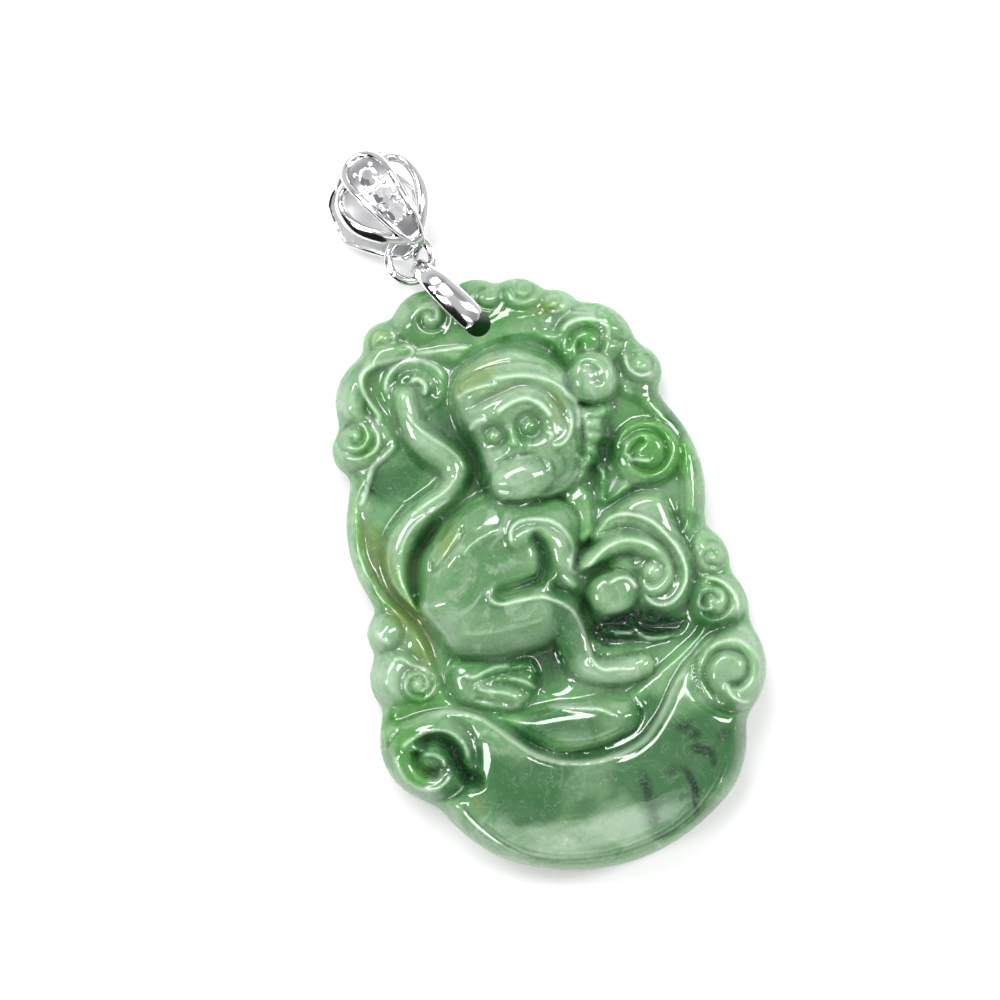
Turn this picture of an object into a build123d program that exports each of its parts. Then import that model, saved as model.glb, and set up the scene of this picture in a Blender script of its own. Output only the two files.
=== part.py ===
from build123d import *
import math
import os
from typing import NamedTuple

import numpy as np

# Carved monkey pendant lying on its back on a table, millimetres, +Z up.
# +Y runs along the carved stone towards the bail, and the rear of the stone rests at z = 0.
# The origin is the middle of the whole pendant's footprint on the table.

# The carved stone
JADE_WIDTH = 28.2
JADE_LENGTH = 43.6
JADE_THICKNESS = 7.5
JADE_RINGS = 36
HOLE_DIAMETER = 2.0

# The polished loop that holds the stone
LOOP_WIDTH = 2.0
LOOP_END_WIDTH = 1.8
LOOP_NECK_WIDTH = 1.2
LOOP_WALL = 0.55
LOOP_SLACK = 2.1
LOOP_LEAN = 28.0
PIN_DIAMETER = 0.5

# The round jump ring
RING_DIAMETER = 3.8
RING_WIRE = 0.62

# The fluted bail
BAIL_WIDTH = 7.7
BAIL_LENGTH = 8.2
BAIL_DEPTH = 5.4
BAIL_WALL = 0.65
BAIL_TIP_WIDTH = 1.2
BAND_WIDTH = 7.0
HEAD_WIDTH = 5.0
BAND_OFFSET_ACROSS = 0.8
BAND_OFFSET_ALONG = 0.2
BAIL_LEAN = 21.0
BAIL_ROLL = 4.0
BAIL_PITCH = -6.0
BAIL_SWING = 5.6
FAN_LENGTH = 7.8
PETAL_WIDTH = 3.4
SETTING_RISE = 0.5
SETTING_RIM = 0.5

# The three cut stones
STONE_COUNT = 3
STONE_DIAMETER = 1.45
STONE_HEIGHT = 0.9
STONE_PITCH = 1.65
STONE_SINK = 0.25
BEAD_DIAMETER = 0.4

# Gaps that keep the pieces apart
RUNNING_GAP = 0.1
SEAT_GAP = 0.03

# The carving is drawn on a grid laid over the stone, this many squares across and along.
# Places and lengths in the tables are squares, counted from the crook of the figure's arm.
# Heights are per cent of the thickness.
GRID_ACROSS = 282
GRID_ALONG = 436
HOLE_ACROSS = 18.0
HOLE_ALONG = 175

# The fan of petals is drawn up from its tip in squares of its own, this many to its length.
FAN_GRID = 78


class Arc(NamedTuple):
    """One arc of an edge: where it starts and a place that it passes; it ends where the next one starts."""
    x: float
    y: float
    by_x: float
    by_y: float


class Bulge(NamedTuple):
    """One outer lobe: where it starts, and how far it swells past the straight line to the next start."""
    x: float
    y: float
    swell: float


class Dome(NamedTuple):
    """A rounded boss with an oval edge."""
    name: str
    x: float
    y: float
    half_width: float
    half_height: float
    turn: float
    foot: float
    crest: float
    rounding: float = 1.0


class Limb(NamedTuple):
    """A rounded strand along a curve through x, y and radius."""
    name: str
    line: list
    foot: float
    crest: float
    crest_end: float = 0.0
    blend: bool = False


class Patch(NamedTuple):
    """A raised or sunk field with a free outline and a rounded edge."""
    name: str
    outline: list
    foot: float
    crest: float
    rounding: float


class Stroke(NamedTuple):
    """A fine ridge, or a groove where the rise is negative."""
    name: str
    points: list
    width: float
    rise: float


class Scroll(NamedTuple):
    """A fine spiral ridge or groove."""
    name: str
    x: float
    y: float
    outer: float
    inner: float
    start: float
    turns: float
    width: float
    rise: float


# The right half of the fan's edge from its tip, and one of its two windows
FAN_EDGE = [Arc(5, 0, 21, 13.5), Arc(32, 29, 36.3, 44), Arc(34.5, 58, 28, 65), Arc(18, 69, 0, 71)]
WINDOW_EDGE = [Arc(13.5, 17.5, 22.5, 30), Arc(28.3, 45, 28, 57),
               Arc(21.5, 62, 18, 61), Arc(17.2, 55, 16.8, 37)]

# The outer lobes, clockwise from the notch at the top
LOBES = [
    Bulge(4, 202, 7.5), Bulge(39, 198, 7), Bulge(71, 183.5, 4.5), Bulge(91.5, 167.5, 11.5),
    Bulge(121, 127, 12.5), Bulge(122, 90, 15.5), Bulge(126.5, -12, 7.5), Bulge(134.5, -48, 5.5),
    Bulge(136.5, -87, 14.5), Bulge(113.5, -150, 5), Bulge(88, -198, 29), Bulge(-83, -194, 4),
    Bulge(-116, -142, 20), Bulge(-130, -67, 8), Bulge(-124, -27, 7.5), Bulge(-113, 2, 13.5),
    Bulge(-100, 98, 11.5), Bulge(-97.5, 134, 12), Bulge(-66, 179, 9.5), Bulge(-40, 196, 11.5),
]

# The carving, laid on in this order
CARVING = [
    # hollow behind the figure
    Patch("hollow", [(-103, 77), (-92, 91), (-84, 101), (-73, 106), (-62, 112), (-64, 122),
        (-68, 134), (-71, 150), (-72, 162), (-62, 168), (-48, 168), (-30, 166), (-16, 158), (0, 156),
        (20, 158), (42, 158), (58, 152), (70, 142), (84, 138), (99, 122), (100, 98), (110, 88),
        (117, 74), (122, 50), (121, 22), (114, -2), (109, -16), (111, -60), (100, -82), (60, -100),
        (0, -120), (-60, -90), (-84, -72), (-88, -30), (-95, -8), (-103, 8), (-108, 22),
        (-110, 45)], 40, 40, 6),
    # cloud lobes round the border
    Dome("lobe_a", -20, 191, 19.5, 17.5, 0, 47, 60),
    Scroll("curl_a", -13, 190, 15, 3, 140, -1.3, 1.9, -6),
    Dome("lobe_b", -52, 185, 14, 12.5, 0, 47, 59),
    Scroll("curl_b", -50, 185, 9, 4, 220, -1.0, 1.6, -4),
    Limb("lobe_c", [(-85, 133, 9), (-87, 145, 11), (-83, 157, 11), (-75, 167, 9), (-63, 175, 6)], 46, 61),
    Patch("tongue", [(-77, 168), (-66, 177), (-55, 181), (-43, 180), (-35, 175), (-33, 171),
        (-38, 169), (-50, 169), (-62, 169)], 50, 57, 5),
    Patch("bank", [(-32, 170), (-20, 168), (-8, 166), (6, 164), (9, 160), (4, 156), (-3, 152),
        (-12, 155), (-22, 160), (-32, 165)], 45, 56, 9),
    Stroke("tongue_line", [(-70, 127), (-69, 135), (-72, 144), (-74, 152), (-74, 160), (-71, 166),
        (-65, 169), (-48, 169), (-36, 168), (-32, 171), (-34, 175), (-42, 180)], 1.7, 6),
    Stroke("bank_line", [(-34, 169), (-22, 167), (-10, 165), (2, 163), (8, 160)], 1.9, 4),
    Dome("lobe_d", -91, 120, 19, 18.5, 0, 46, 61),
    Scroll("curl_d", -91, 125, 15, 3, 20, -1.5, 2.0, -7),
    Stroke("line_d", [(-78, 139), (-75, 130), (-74, 120), (-79, 112), (-91, 109)], 1.7, 4),
    Stroke("line_e", [(-61, 113), (-73, 106), (-84, 101), (-90, 93), (-96, 84), (-103, 75)], 1.9, 7),
    Stroke("rim_e", [(-104, 74), (-112, 58), (-115, 40), (-111, 20)], 4.0, 4),
    Dome("lobe_f", -113, -14, 14, 13.5, 0, 46, 61),
    Stroke("line_f", [(-118, -9), (-117, -16), (-111, -24)], 1.6, 3),
    Dome("lobe_g", -115, -47, 20, 20, 0, 46, 62),
    Dome("ball_g", -101, -56, 14, 14, 0, 48, 63),
    Scroll("curl_g", -101, -56, 12, 3, 140, -1.5, 1.9, -7),
    Stroke("line_g", [(-114, -33), (-107, -35), (-101, -42), (-94, -47), (-91, -54)], 1.6, 4),
    Dome("lobe_k", 124, -30, 14, 16, 0, 46, 61),
    Scroll("curl_k", 126, -34, 11, 3, 120, -1.2, 1.8, -6),
    Dome("lobe_j", 119, -66, 20, 20, 0, 46, 63),
    Scroll("curl_j", 116, -65, 14, 5, 110, -1.2, 2.2, -8),
    Stroke("line_j", [(114, -45), (123, -50), (130, -58), (133, -68), (130, -79)], 1.6, 5),
    Stroke("hook_j", [(109, -58), (106, -63), (109, -68), (115, -69)], 1.5, 4),
    Dome("lobe_n", 89, 139, 26, 25, 0, 46, 60, 0.45),
    Stroke("ring_n", [(71, 149), (79, 155), (90, 155), (100, 151), (105, 144), (103, 134)], 1.7, 5),
    Scroll("curl_n", 88, 137, 14, 6, 190, -1.1, 2.2, -7),
    Dome("lobe_r", 110, 146, 10, 15, 20, 47, 60, 0.8),
    Dome("lobe_m", 120, 111, 14, 13, 0, 47, 61),
    Scroll("curl_m", 121, 112, 9, 6, 90, 0.9, 1.8, -5),
    Stroke("line_m", [(111, 124), (110, 116), (112, 109), (118, 104), (126, 104)], 1.6, 5),
    Patch("facet_n", [(55, 159), (61, 155), (73, 150), (70, 144), (67, 141), (61, 147),
        (56, 153)], 50, 56, 4),
    Dome("lobe_o", 76, 173, 12, 10, -35, 47, 58),
    Scroll("curl_o", 73, 173, 8, 5, 200, -0.9, 1.6, -4),
    Dome("lobe_p", 55, 187, 16, 12.5, -12, 47, 58),
    Scroll("curl_p", 57, 189, 8.5, 5, 150, 1.0, 1.7, -5),
    Dome("lobe_q", 25, 192, 17, 13, 0, 47, 57),
    Scroll("curl_q", 30, 191, 10, 6, 20, -0.8, 1.7, -4),
    Stroke("border_right", [(139, 56), (140, 34), (135, 12), (126, -8)], 16.0, 10),
    # swirl beyond the tail's tip
    Dome("swirl", -38, 146, 24, 22, 0, 40, 50, 0.8),
    Stroke("swirl_ring", [(-60, 145), (-57, 157), (-46, 165), (-31, 164), (-20, 155), (-16, 143)], 1.9, 4),
    Stroke("swirl_groove", [(-54, 148), (-48, 157), (-38, 159), (-28, 154), (-23, 145),
        (-27, 134)], 2.4, -6),
    Stroke("swirl_hook", [(-41, 150), (-36, 151), (-32, 147), (-32, 142), (-35, 138)], 1.9, 8),
    # curl at the right and the drapery beside it
    Limb("wisp", [(64, 26, 1), (76, 30, 4), (88, 36, 7), (100, 44, 12)], 44, 57),
    Dome("peach_curl", 104, 50, 25, 25, 0, 44, 60, 0.6),
    Scroll("peach_groove", 104, 51, 19, 9, 175, -1.2, 2.6, -9),
    Stroke("peach_hook", [(91, 55), (92, 50), (98, 47), (106, 44)], 1.6, 5),
    Stroke("peach_line", [(88, 52), (91, 59), (94, 64)], 1.4, 3),
    Limb("strap", [(67, 57, 2), (70, 50, 3.5), (68, 40, 4), (64, 29, 3)], 42, 50),
    Stroke("strap_line", [(67, 53), (70, 47), (69, 41)], 1.4, 4),
    # pierced shadow under the curls
    Patch("crevice", [(28, -52), (45, -56), (60, -57), (68, -64), (78, -67), (94, -70), (86, -78),
        (66, -79), (45, -76), (32, -70)], 30, 30, 4),
    Limb("twig", [(36, -61, 3), (46, -65, 4), (57, -69, 3.5)], 34, 46),
    Stroke("twig_line", [(42, -64), (48, -66), (56, -69)], 1.3, 4),
    Limb("twig_two", [(57, -58, 2.5), (58, -66, 3), (65, -74, 4), (82, -79, 3)], 34, 48),
    Stroke("twig_two_line", [(58, -68), (62, -74), (71, -78), (81, -79)], 1.3, 4),
    # great curl held by the figure
    Patch("shell", [(46, 6), (58, 15), (70, 21), (85, 25), (98, 24), (106, 18), (108, 6), (109, -6),
        (113, -20), (113, -33), (107, -46), (102, -56), (95, -62), (85, -64), (75, -60), (66, -50),
        (58, -30), (48, -10)], 48, 63, 9),
    Stroke("shell_line", [(52, 9), (62, 14), (72, 15), (82, 11), (92, 3), (99, -9), (104, -22),
        (105, -35), (102, -45), (94, -53), (86, -56), (77, -54), (72, -47), (70, -39)], 1.6, 6),
    Stroke("shell_groove", [(50, 4), (60, 6), (72, 5), (83, -1), (92, -12), (97, -24), (97, -36),
        (92, -45)], 2.4, -6),
    Limb("curl_band", [(30, -14, 3), (40, -10, 6.5), (52, -6, 8.5), (66, -5, 8.5), (78, -9, 8.5),
        (86, -17, 8), (90, -27, 7.5), (89, -37, 7), (83, -43, 6), (76, -42, 5),
        (73, -36, 4.5)], 58, 82, 68),
    Stroke("band_line", [(33, -16), (42, -12), (50, -7), (60, -3.5), (70, -3.5), (80, -8), (87, -14),
        (91, -22)], 2.0, 4),
    Dome("curl_eye", 82, -31, 8.5, 8, 0, 60, 72),
    Dome("fist", 50, -37, 20, 17.5, -8, 46, 74, 0.9),
    Stroke("fist_line", [(48, -30), (56, -28), (62, -29), (66, -33), (68, -41)], 1.6, 5),
    # drapery behind the arm
    Patch("scarf", [(36, 46), (50, 48), (57, 37), (55, 22), (50, 8), (42, 2), (36, 8),
        (38, 26)], 50, 61, 6),
    # tail
    Limb("tail", [(-86, -7, 1.5), (-89, 2, 3.5), (-91, 12, 6.5), (-91, 25, 9), (-87, 37, 11),
        (-79, 47, 12), (-67, 56, 11.5), (-55, 62, 10.5), (-43, 67, 9.5), (-34, 73, 10), (-30, 82, 12),
        (-33, 91, 13), (-41, 101, 13), (-47, 111, 11.5), (-49, 122, 10), (-49, 133, 9.5),
        (-48, 141, 9)], 46, 72, 66),
    Stroke("tail_line_1", [(-86, -4), (-89, 8), (-90, 18), (-89, 28)], 1.5, 3),
    Stroke("tail_line_2", [(-86, 33), (-80, 43), (-68, 53), (-50, 59), (-34, 64)], 1.5, 3),
    Stroke("tail_line_3", [(-72, 59), (-54, 65), (-40, 69), (-30, 76)], 1.5, 3),
    Stroke("tail_line_4", [(-50, 129), (-46, 119), (-39, 109), (-30, 98), (-24, 87), (-23, 76)], 1.6, 3),
    # body with the raised thigh
    Patch("torso", [(-86, -8), (-83, 5), (-78, 19), (-72, 30), (-62, 39), (-50, 47), (-35, 53),
        (-18, 58), (-5, 57), (8, 50), (22, 45), (36, 38), (43, 22), (38, 6), (33, -10), (31, -26),
        (22, -46), (6, -56), (-8, -59), (-25, -58), (-45, -55), (-62, -50), (-73, -43),
        (-79, -28)], 50, 86, 38),
    Stroke("tuft_edge", [(-36, 50), (-47, 45), (-58, 35), (-65, 25), (-67, 17), (-57, 21), (-46, 29),
        (-38, 38), (-34, 46)], 1.7, -4),
    Stroke("tuft_line", [(-65, 23), (-62, 30), (-55, 37)], 1.4, 3),
    Stroke("flank", [(-44, 19), (-36, 26), (-22, 30), (-8, 30)], 3.4, 4),
    # folded arm, its crease and the thigh
    Limb("upper_arm", [(-5, 20, 9), (5, 22, 9.5), (15, 19, 10), (22, 10, 10), (22, -2, 9.5),
        (18, -12, 9), (22, -22, 7)], 68, 91, 86, 1),
    Stroke("arm_line", [(-6, 13), (-7, 22), (-4, 29), (3, 32), (12, 31), (22, 27), (29, 20), (33, 10),
        (33, 2), (29, -6), (27, -11), (29, -15), (34, -16)], 1.7, 5),
    Stroke("arm_crease", [(7, 24), (11, 14), (11, 2), (6, -9), (-4, -12), (-18, -12),
        (-32, -12)], 4.2, -15),
    Stroke("elbow_crease", [(7, -16), (18, -24), (26, -33), (29, -44), (29, -56), (31, -68)], 3.2, -10),
    # crossed leg
    Limb("shin", [(-22, -29, 9), (-4, -32, 11), (8, -41, 12), (11, -54, 11.5), (12, -68, 11),
        (14, -79, 10), (26, -88, 9.5), (42, -92, 10), (54, -92, 9)], 56, 81, 66, 1),
    Stroke("leg_line", [(-30, -7), (-34, -12), (-32, -17), (-26, -20), (-16, -21), (0, -23), (8, -28),
        (15, -34), (20, -42), (22, -52), (22, -64), (22, -78), (27, -86), (38, -89), (50, -94)], 1.6, 5),
    # far foot with its toes, and the gap beside it
    Patch("gap", [(-26, -60), (-12, -60), (-2, -62), (0, -74), (3, -88), (-4, -94), (-16, -92),
        (-24, -84), (-26, -72)], 32, 32, 4),
    Patch("paw", [(-80, -62), (-78, -54), (-71, -48), (-60, -52), (-45, -58), (-30, -61), (-21, -64),
        (-18, -72), (-20, -80), (-27, -89), (-36, -96), (-46, -95), (-56, -91), (-67, -85),
        (-77, -78), (-80, -70)], 46, 62, 9),
    Stroke("toe_line_1", [(-70, -58), (-63, -63), (-55, -62), (-45, -61), (-33, -63)], 1.6, 4),
    Stroke("toe_groove_1", [(-58, -67), (-46, -67), (-32, -69), (-21, -71)], 2.0, -6),
    Stroke("toe_line_2", [(-62, -67), (-60, -73), (-53, -77), (-44, -81), (-35, -88)], 1.6, 4),
    Stroke("toe_groove_2", [(-52, -71), (-43, -74), (-34, -80), (-28, -88)], 2.0, -6),
    Stroke("toe_line_3", [(-40, -71), (-32, -75), (-26, -80), (-22, -86)], 1.6, 4),
    Stroke("toe_groove_3", [(-68, -77), (-58, -82), (-48, -87), (-40, -92)], 2.0, -5),
    # near foot
    Patch("sole", [(-53, -97), (-40, -97), (-25, -98), (-10, -100), (5, -103), (20, -105), (33, -108),
        (41, -115), (43, -125), (36, -134), (22, -138), (5, -139), (-12, -136), (-26, -130),
        (-38, -119), (-46, -108)], 46, 66, 15),
    Stroke("sole_line", [(-22, -98), (-8, -103), (8, -109), (17, -113), (26, -122)], 1.7, 4),
    Stroke("heel_groove", [(27, -100), (35, -105), (39, -113), (38, -122)], 1.7, -4),
    # cloud bed
    Patch("boat", [(-105, -79), (-90, -80), (-76, -84), (-65, -92), (-57, -102), (-49, -113),
        (-41, -123), (-32, -131), (-20, -138), (-5, -143), (10, -145), (26, -145), (40, -141),
        (50, -134), (60, -125), (68, -116), (78, -106), (92, -96), (108, -90), (125, -85), (142, -96),
        (150, -115), (140, -138), (120, -152), (122, -170), (100, -204), (50, -234), (0, -240),
        (-50, -234), (-90, -210), (-114, -175), (-124, -150), (-140, -142), (-152, -115), (-150, -90),
        (-130, -78)],
          54, 68, 12),
    Stroke("bowl_swell", [(-92, -120), (-72, -146), (-36, -164), (4, -170), (42, -166), (76, -150),
        (98, -128)], 34.0, 15),
    Stroke("boat_line", [(-128, -84), (-112, -80), (-95, -80), (-84, -82), (-74, -87), (-65, -94),
        (-57, -104), (-49, -115), (-41, -125), (-32, -133), (-20, -140), (-5, -145), (10, -147),
        (26, -146), (40, -142), (50, -135), (60, -126), (68, -117), (78, -107), (92, -97),
        (106, -92)], 2.0, 5),
    Stroke("bowl_edge", [(-101, -139), (-97, -151), (-91, -164), (-80, -180), (-66, -194),
        (-48, -204), (-24, -211), (0, -214), (24, -213), (46, -208), (66, -198), (82, -185),
        (94, -170)], 1.8, -4),
    Dome("scroll_left", -108, -109, 33, 31, 0, 58, 73, 0.5),
    Stroke("left_turn", [(-129, -97), (-120, -92), (-105, -90), (-93, -93), (-86, -100), (-83, -110),
        (-85, -120)], 1.8, 4),
    Stroke("left_groove", [(-76, -134), (-86, -132), (-91, -122), (-92, -109), (-98, -98),
        (-108, -95), (-117, -99)], 4.2, -20),
    Stroke("left_eye", [(-117, -99), (-119, -109), (-114, -118), (-106, -120)], 3.2, -14),
    Stroke("left_hook", [(-114, -104), (-107, -106), (-102, -111), (-101, -118)], 1.5, 4),
    Stroke("left_under", [(-99, -121), (-103, -127), (-112, -130), (-122, -127), (-130, -118),
        (-133, -106), (-132, -96)], 1.8, 4),
    Dome("scroll_right", 114, -116, 27, 29, 0, 60, 79, 0.5),
    Stroke("right_groove", [(104, -138), (97, -128), (94, -115), (99, -104), (110, -99), (121, -103),
        (126, -112), (122, -122), (113, -125), (107, -119)], 2.6, -11),
    Stroke("right_hook", [(107, -122), (107, -130), (112, -137), (120, -141)], 1.6, 5),
    Stroke("right_turn", [(98, -97), (111, -93), (124, -96), (132, -106), (134, -118),
        (128, -131)], 1.8, 3),
    # head
    Patch("ruff", [(64, 98), (76, 95), (86, 94), (89, 89), (87, 84), (82, 80), (81, 75), (80, 70),
        (75, 66), (73, 61), (70, 56), (62, 52), (54, 45), (40, 44), (40, 80)], 58, 78, 11),
    Stroke("ruff_rib_1", [(70, 88), (78, 85), (85, 82)], 1.7, -5),
    Stroke("ruff_rib_2", [(68, 80), (75, 76), (82, 72)], 1.7, -5),
    Stroke("ruff_rib_3", [(65, 72), (70, 68), (75, 63)], 1.7, -5),
    Stroke("ruff_rib_4", [(60, 65), (65, 60), (69, 55)], 1.7, -5),
    Patch("head", [(-18, 116), (-17, 130), (-13, 140), (-5, 148), (8, 153), (22, 155), (36, 153),
        (48, 147), (58, 139), (66, 129), (71, 117), (70, 103), (67, 88), (64, 72), (57, 57), (47, 45),
        (34, 40), (20, 42), (6, 46), (-5, 53), (-12, 61), (-14, 70), (-12, 80), (-12, 90),
        (-16, 101)], 60, 93, 28),
    Limb("ear_root", [(60, 112, 11), (72, 112, 13), (84, 113, 14)], 60, 79, 79, 1),
    Dome("ear", 83, 113, 18, 19.5, 0, 58, 81, 0.65),
    Stroke("ear_line", [(75, 130), (87, 131), (97, 123), (100, 112), (96, 101), (85, 95)], 1.6, 3),
    Stroke("ear_dent", [(77, 124), (84, 123), (88, 115), (85, 106)], 3.0, -4),
    Stroke("hair_line_1", [(-15, 128), (-4, 131), (8, 131), (20, 129)], 1.8, 3),
    Stroke("hair_line_2", [(12, 134), (26, 132), (38, 129), (50, 123), (59, 115), (66, 105)], 1.8, 4),
    Stroke("hair_line_3", [(-12, 138), (2, 142), (20, 143), (38, 140), (52, 132), (62, 122)], 1.8, -3),
    Stroke("brow", [(8, 109), (20, 113), (32, 114), (40, 109), (45, 101), (47, 94)], 1.9, 6),
    Stroke("brow_groove", [(-12, 118), (2, 121), (18, 123), (32, 124), (44, 119), (52, 110), (56, 97),
        (53, 84)], 3.0, -6),
    Stroke("brow_left", [(-12, 104), (-5, 108), (4, 108)], 2.4, 4),
    Stroke("face_line", [(60, 112), (67, 101), (66, 91), (62, 80)], 2.2, 5),
    Stroke("cheek_line", [(61, 98), (60, 88), (55, 79), (48, 75), (41, 76)], 1.6, 4),
    Dome("socket_right", 30, 94, 10, 10, 0, 80, 84, 0.6),
    Dome("socket_left", 4, 95, 9, 9, 0, 77, 80, 0.6),
    Dome("eye_right", 30, 94, 6.5, 6.5, 0, 80, 88, 1),
    Dome("eye_left", 4, 95, 6, 6, 0, 77, 85, 1),
    Stroke("nose", [(16, 99), (17, 91), (15, 83)], 3.0, 4),
    Stroke("eye_corner", [(39, 87), (44, 84), (40, 80)], 1.5, 3),
    Dome("muzzle", 13, 60, 24, 17, -4, 78, 97, 0.8),
    Stroke("muzzle_line", [(11, 76), (22, 74), (31, 72), (35, 65), (34, 57)], 1.7, 3),
    Stroke("mouth", [(-8, 61), (0, 56), (10, 54), (22, 56)], 1.8, -2.2),
    Stroke("jaw_groove", [(42, 74), (46, 65), (44, 56), (36, 49)], 2.4, -4),
    Stroke("jaw_line", [(55, 66), (58, 60), (57, 54)], 1.5, 3),
    Stroke("chin_line", [(14, 48), (28, 44), (40, 45), (50, 50), (56, 57)], 1.7, 3),
]

# Heights and widths that all the carving shares
BORDER_HEIGHT = 52.0
GROOVE_FLOOR = 28.0
EDGE_SOFTNESS = 4.2
MOAT_DEPTH = 3.0
MOAT_WIDTH = 3.0
GIRDLE_HEIGHT = 29.0
GIRDLE_ROUNDING = 14.0
LOBE_CREST = 61.0
FINEST_LINE = 4.0
LINE_FADE = 0.12
SCROLL_STEPS = 40
CURVE_STEPS = 6
LOBE_STEPS = 14
LOBE_SMOOTHING = 3

# Rings of the stone's rear, from its outer edge inwards: share of the way out, height
REAR_RINGS = [(0.985, 18.0), (0.93, 14.0), (0.80, 12.5)]
REAR_FLAT_SHARE = 0.62

# Where a limb that merges with its ground lets go of it
MERGE_REACH = 40.0
MERGE_SOFTNESS = 4.0

# How the net of triangles crowds towards the stone's edge
RING_CROWDING = 1.2

# Shares of the sizes that shape the metal and the stones
WIDEST_SHARE = 0.38
MIDDLE_STONE_SHARE = 0.033
SWELL_SHARE = 0.76
SWELL_PLACE = 0.4
CROWN_SHARE = 0.3
GIRDLE_SHARE = 0.08
TABLE_SHARE = 0.56
FRONT_CUT = BAIL_DEPTH * 0.16
REAR_CUT = -BAIL_DEPTH * 0.23
HEAD_DEPTH = BAIL_LENGTH * 0.2
FOOT_REACH = 1.3
FOOT_SHARE = 0.65

# Places worked out from the sizes
HOLE_X = HOLE_ACROSS * JADE_WIDTH / GRID_ACROSS
HOLE_Y = HOLE_ALONG * JADE_LENGTH / GRID_ALONG
PIN_PLACE = (HOLE_DIAMETER - PIN_DIAMETER) / 2 - 2 * RUNNING_GAP
LOOP_START = PIN_PLACE - PIN_DIAMETER / 2
LOOP_BOTTOM = RUNNING_GAP / 2
LOOP_TOP = JADE_THICKNESS * LOBE_CREST / 100 + RUNNING_GAP + LOOP_WALL
LOOP_MIDDLE = (LOOP_BOTTOM + LOOP_TOP) / 2
EDGE_REACH = (LOBES[0].y - HOLE_ALONG) * JADE_LENGTH / GRID_ALONG / math.cos(math.radians(LOOP_LEAN))
LOOP_REACH = EDGE_REACH + RING_WIRE + LOOP_WALL + LOOP_SLACK
RING_INSIDE = RING_DIAMETER / 2 - RING_WIRE
NECK_CHORD = math.sqrt(RING_INSIDE ** 2 - LOOP_NECK_WIDTH ** 2 / 4)
RING_REACH = LOOP_REACH - LOOP_WALL - 2 * RUNNING_GAP + NECK_CHORD
RING_X = HOLE_X - RING_REACH * math.sin(math.radians(LOOP_LEAN))
RING_Y = HOLE_Y + RING_REACH * math.cos(math.radians(LOOP_LEAN))
BAIL_REACH = BAIL_LENGTH * 0.528
BAIL_X = RING_X - BAIL_REACH * math.sin(math.radians(BAIL_SWING))
BAIL_Y = RING_Y + BAIL_REACH * math.cos(math.radians(BAIL_SWING))


def curve_through(points, closed=False):
    """Dense smooth curve through a few points."""
    corners = np.asarray(points, float)
    if closed:
        padded = np.vstack([corners[-1], corners, corners[:2]])
        spans = len(corners)
    else:
        padded = np.vstack([2 * corners[0] - corners[1], corners, 2 * corners[-1] - corners[-2]])
        spans = len(corners) - 1
    t = np.linspace(0, 1, CURVE_STEPS, endpoint=False)[:, None]
    dense = []
    for index in range(spans):
        a, b, c, d = padded[index:index + 4]
        dense.append(b + 0.5 * t * (c - a + t * (2 * a - 5 * b + 4 * c - d + t * (3 * b - a - 3 * c + d))))
    dense.append(corners[:1] if closed else corners[-1:])
    return np.vstack(dense)


def ease(share):
    """Smooth step from 0 to 1."""
    share = np.clip(share, 0, 1)
    return share * share * (3 - 2 * share)


def quarter_round(share):
    """Height of a quarter circle, from 0 at its foot to 1."""
    return np.sqrt(1 - (1 - np.clip(share, 0, 1)) ** 2)


def distance_to(points, line):
    """Least distance from each point to a polyline, and how many spans along it that is."""
    least = np.full(len(points), np.inf)
    along = np.zeros(len(points))
    for index in range(len(line) - 1):
        start = line[index]
        span = line[index + 1] - start
        share = np.clip((points - start) @ span / max(span @ span, 1e-9), 0, 1)
        gap = np.linalg.norm(points - start - share[:, None] * span, axis=1)
        closer = gap < least
        least[closer] = gap[closer]
        along[closer] = index + share[closer]
    return least, along


def is_inside(points, ring):
    """Which points lie inside a closed polyline."""
    x, y = points.T
    crossings = np.zeros(len(points), int)
    for start, end in zip(ring[:-1], ring[1:]):
        spans = (start[1] > y) != (end[1] > y)
        rise = end[1] - start[1]
        reach = start[0] + (y - start[1]) * (end[0] - start[0]) / (rise if rise else 1.0)
        crossings += spans & (x < reach)
    return crossings % 2 == 1


def outer_lobes():
    """Dense outline of the stone, evenly spaced and counter-clockwise, in grid squares."""
    dense = []
    for start, end in zip(LOBES, LOBES[1:] + LOBES[:1]):
        foot = np.array([start.x, start.y])
        chord = np.array([end.x, end.y]) - foot
        length = np.linalg.norm(chord)
        outward = np.array([-chord[1], chord[0]]) / length
        share = np.linspace(0, 1, LOBE_STEPS, endpoint=False)[:, None]
        radius = (length ** 2 / 4 + start.swell ** 2) / (2 * start.swell)
        swell = np.sqrt(radius ** 2 - (length * (share - 0.5)) ** 2) - radius + start.swell
        dense.append(foot + chord * share + outward * swell)
    ring = np.vstack(dense)[::-1]
    for _ in range(LOBE_SMOOTHING):
        ring = (np.roll(ring, 1, 0) + 2 * ring + np.roll(ring, -1, 0)) / 4
    return np.vstack([ring, ring[:1]])


def points_round(ring, count):
    """Evenly spaced points round a closed polyline."""
    reach = np.concatenate([[0], np.cumsum(np.linalg.norm(np.diff(ring, axis=0), axis=1))])
    wanted = np.linspace(0, reach[-1], count, endpoint=False)
    return np.column_stack([np.interp(wanted, reach, ring[:, 0]), np.interp(wanted, reach, ring[:, 1])])


def laid_on(height, gap, top, moat=MOAT_DEPTH):
    """Lay a form on the carving: its top where the gap to its edge is negative, and a groove round it."""
    groove = moat * np.exp(-((gap - EDGE_SOFTNESS) / MOAT_WIDTH) ** 2)
    ground = np.maximum(height - groove, np.minimum(height, GROOVE_FLOOR))
    cover = ease((EDGE_SOFTNESS - gap) / (2 * EDGE_SOFTNESS))
    return ground * (1 - cover) + top * cover


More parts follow.
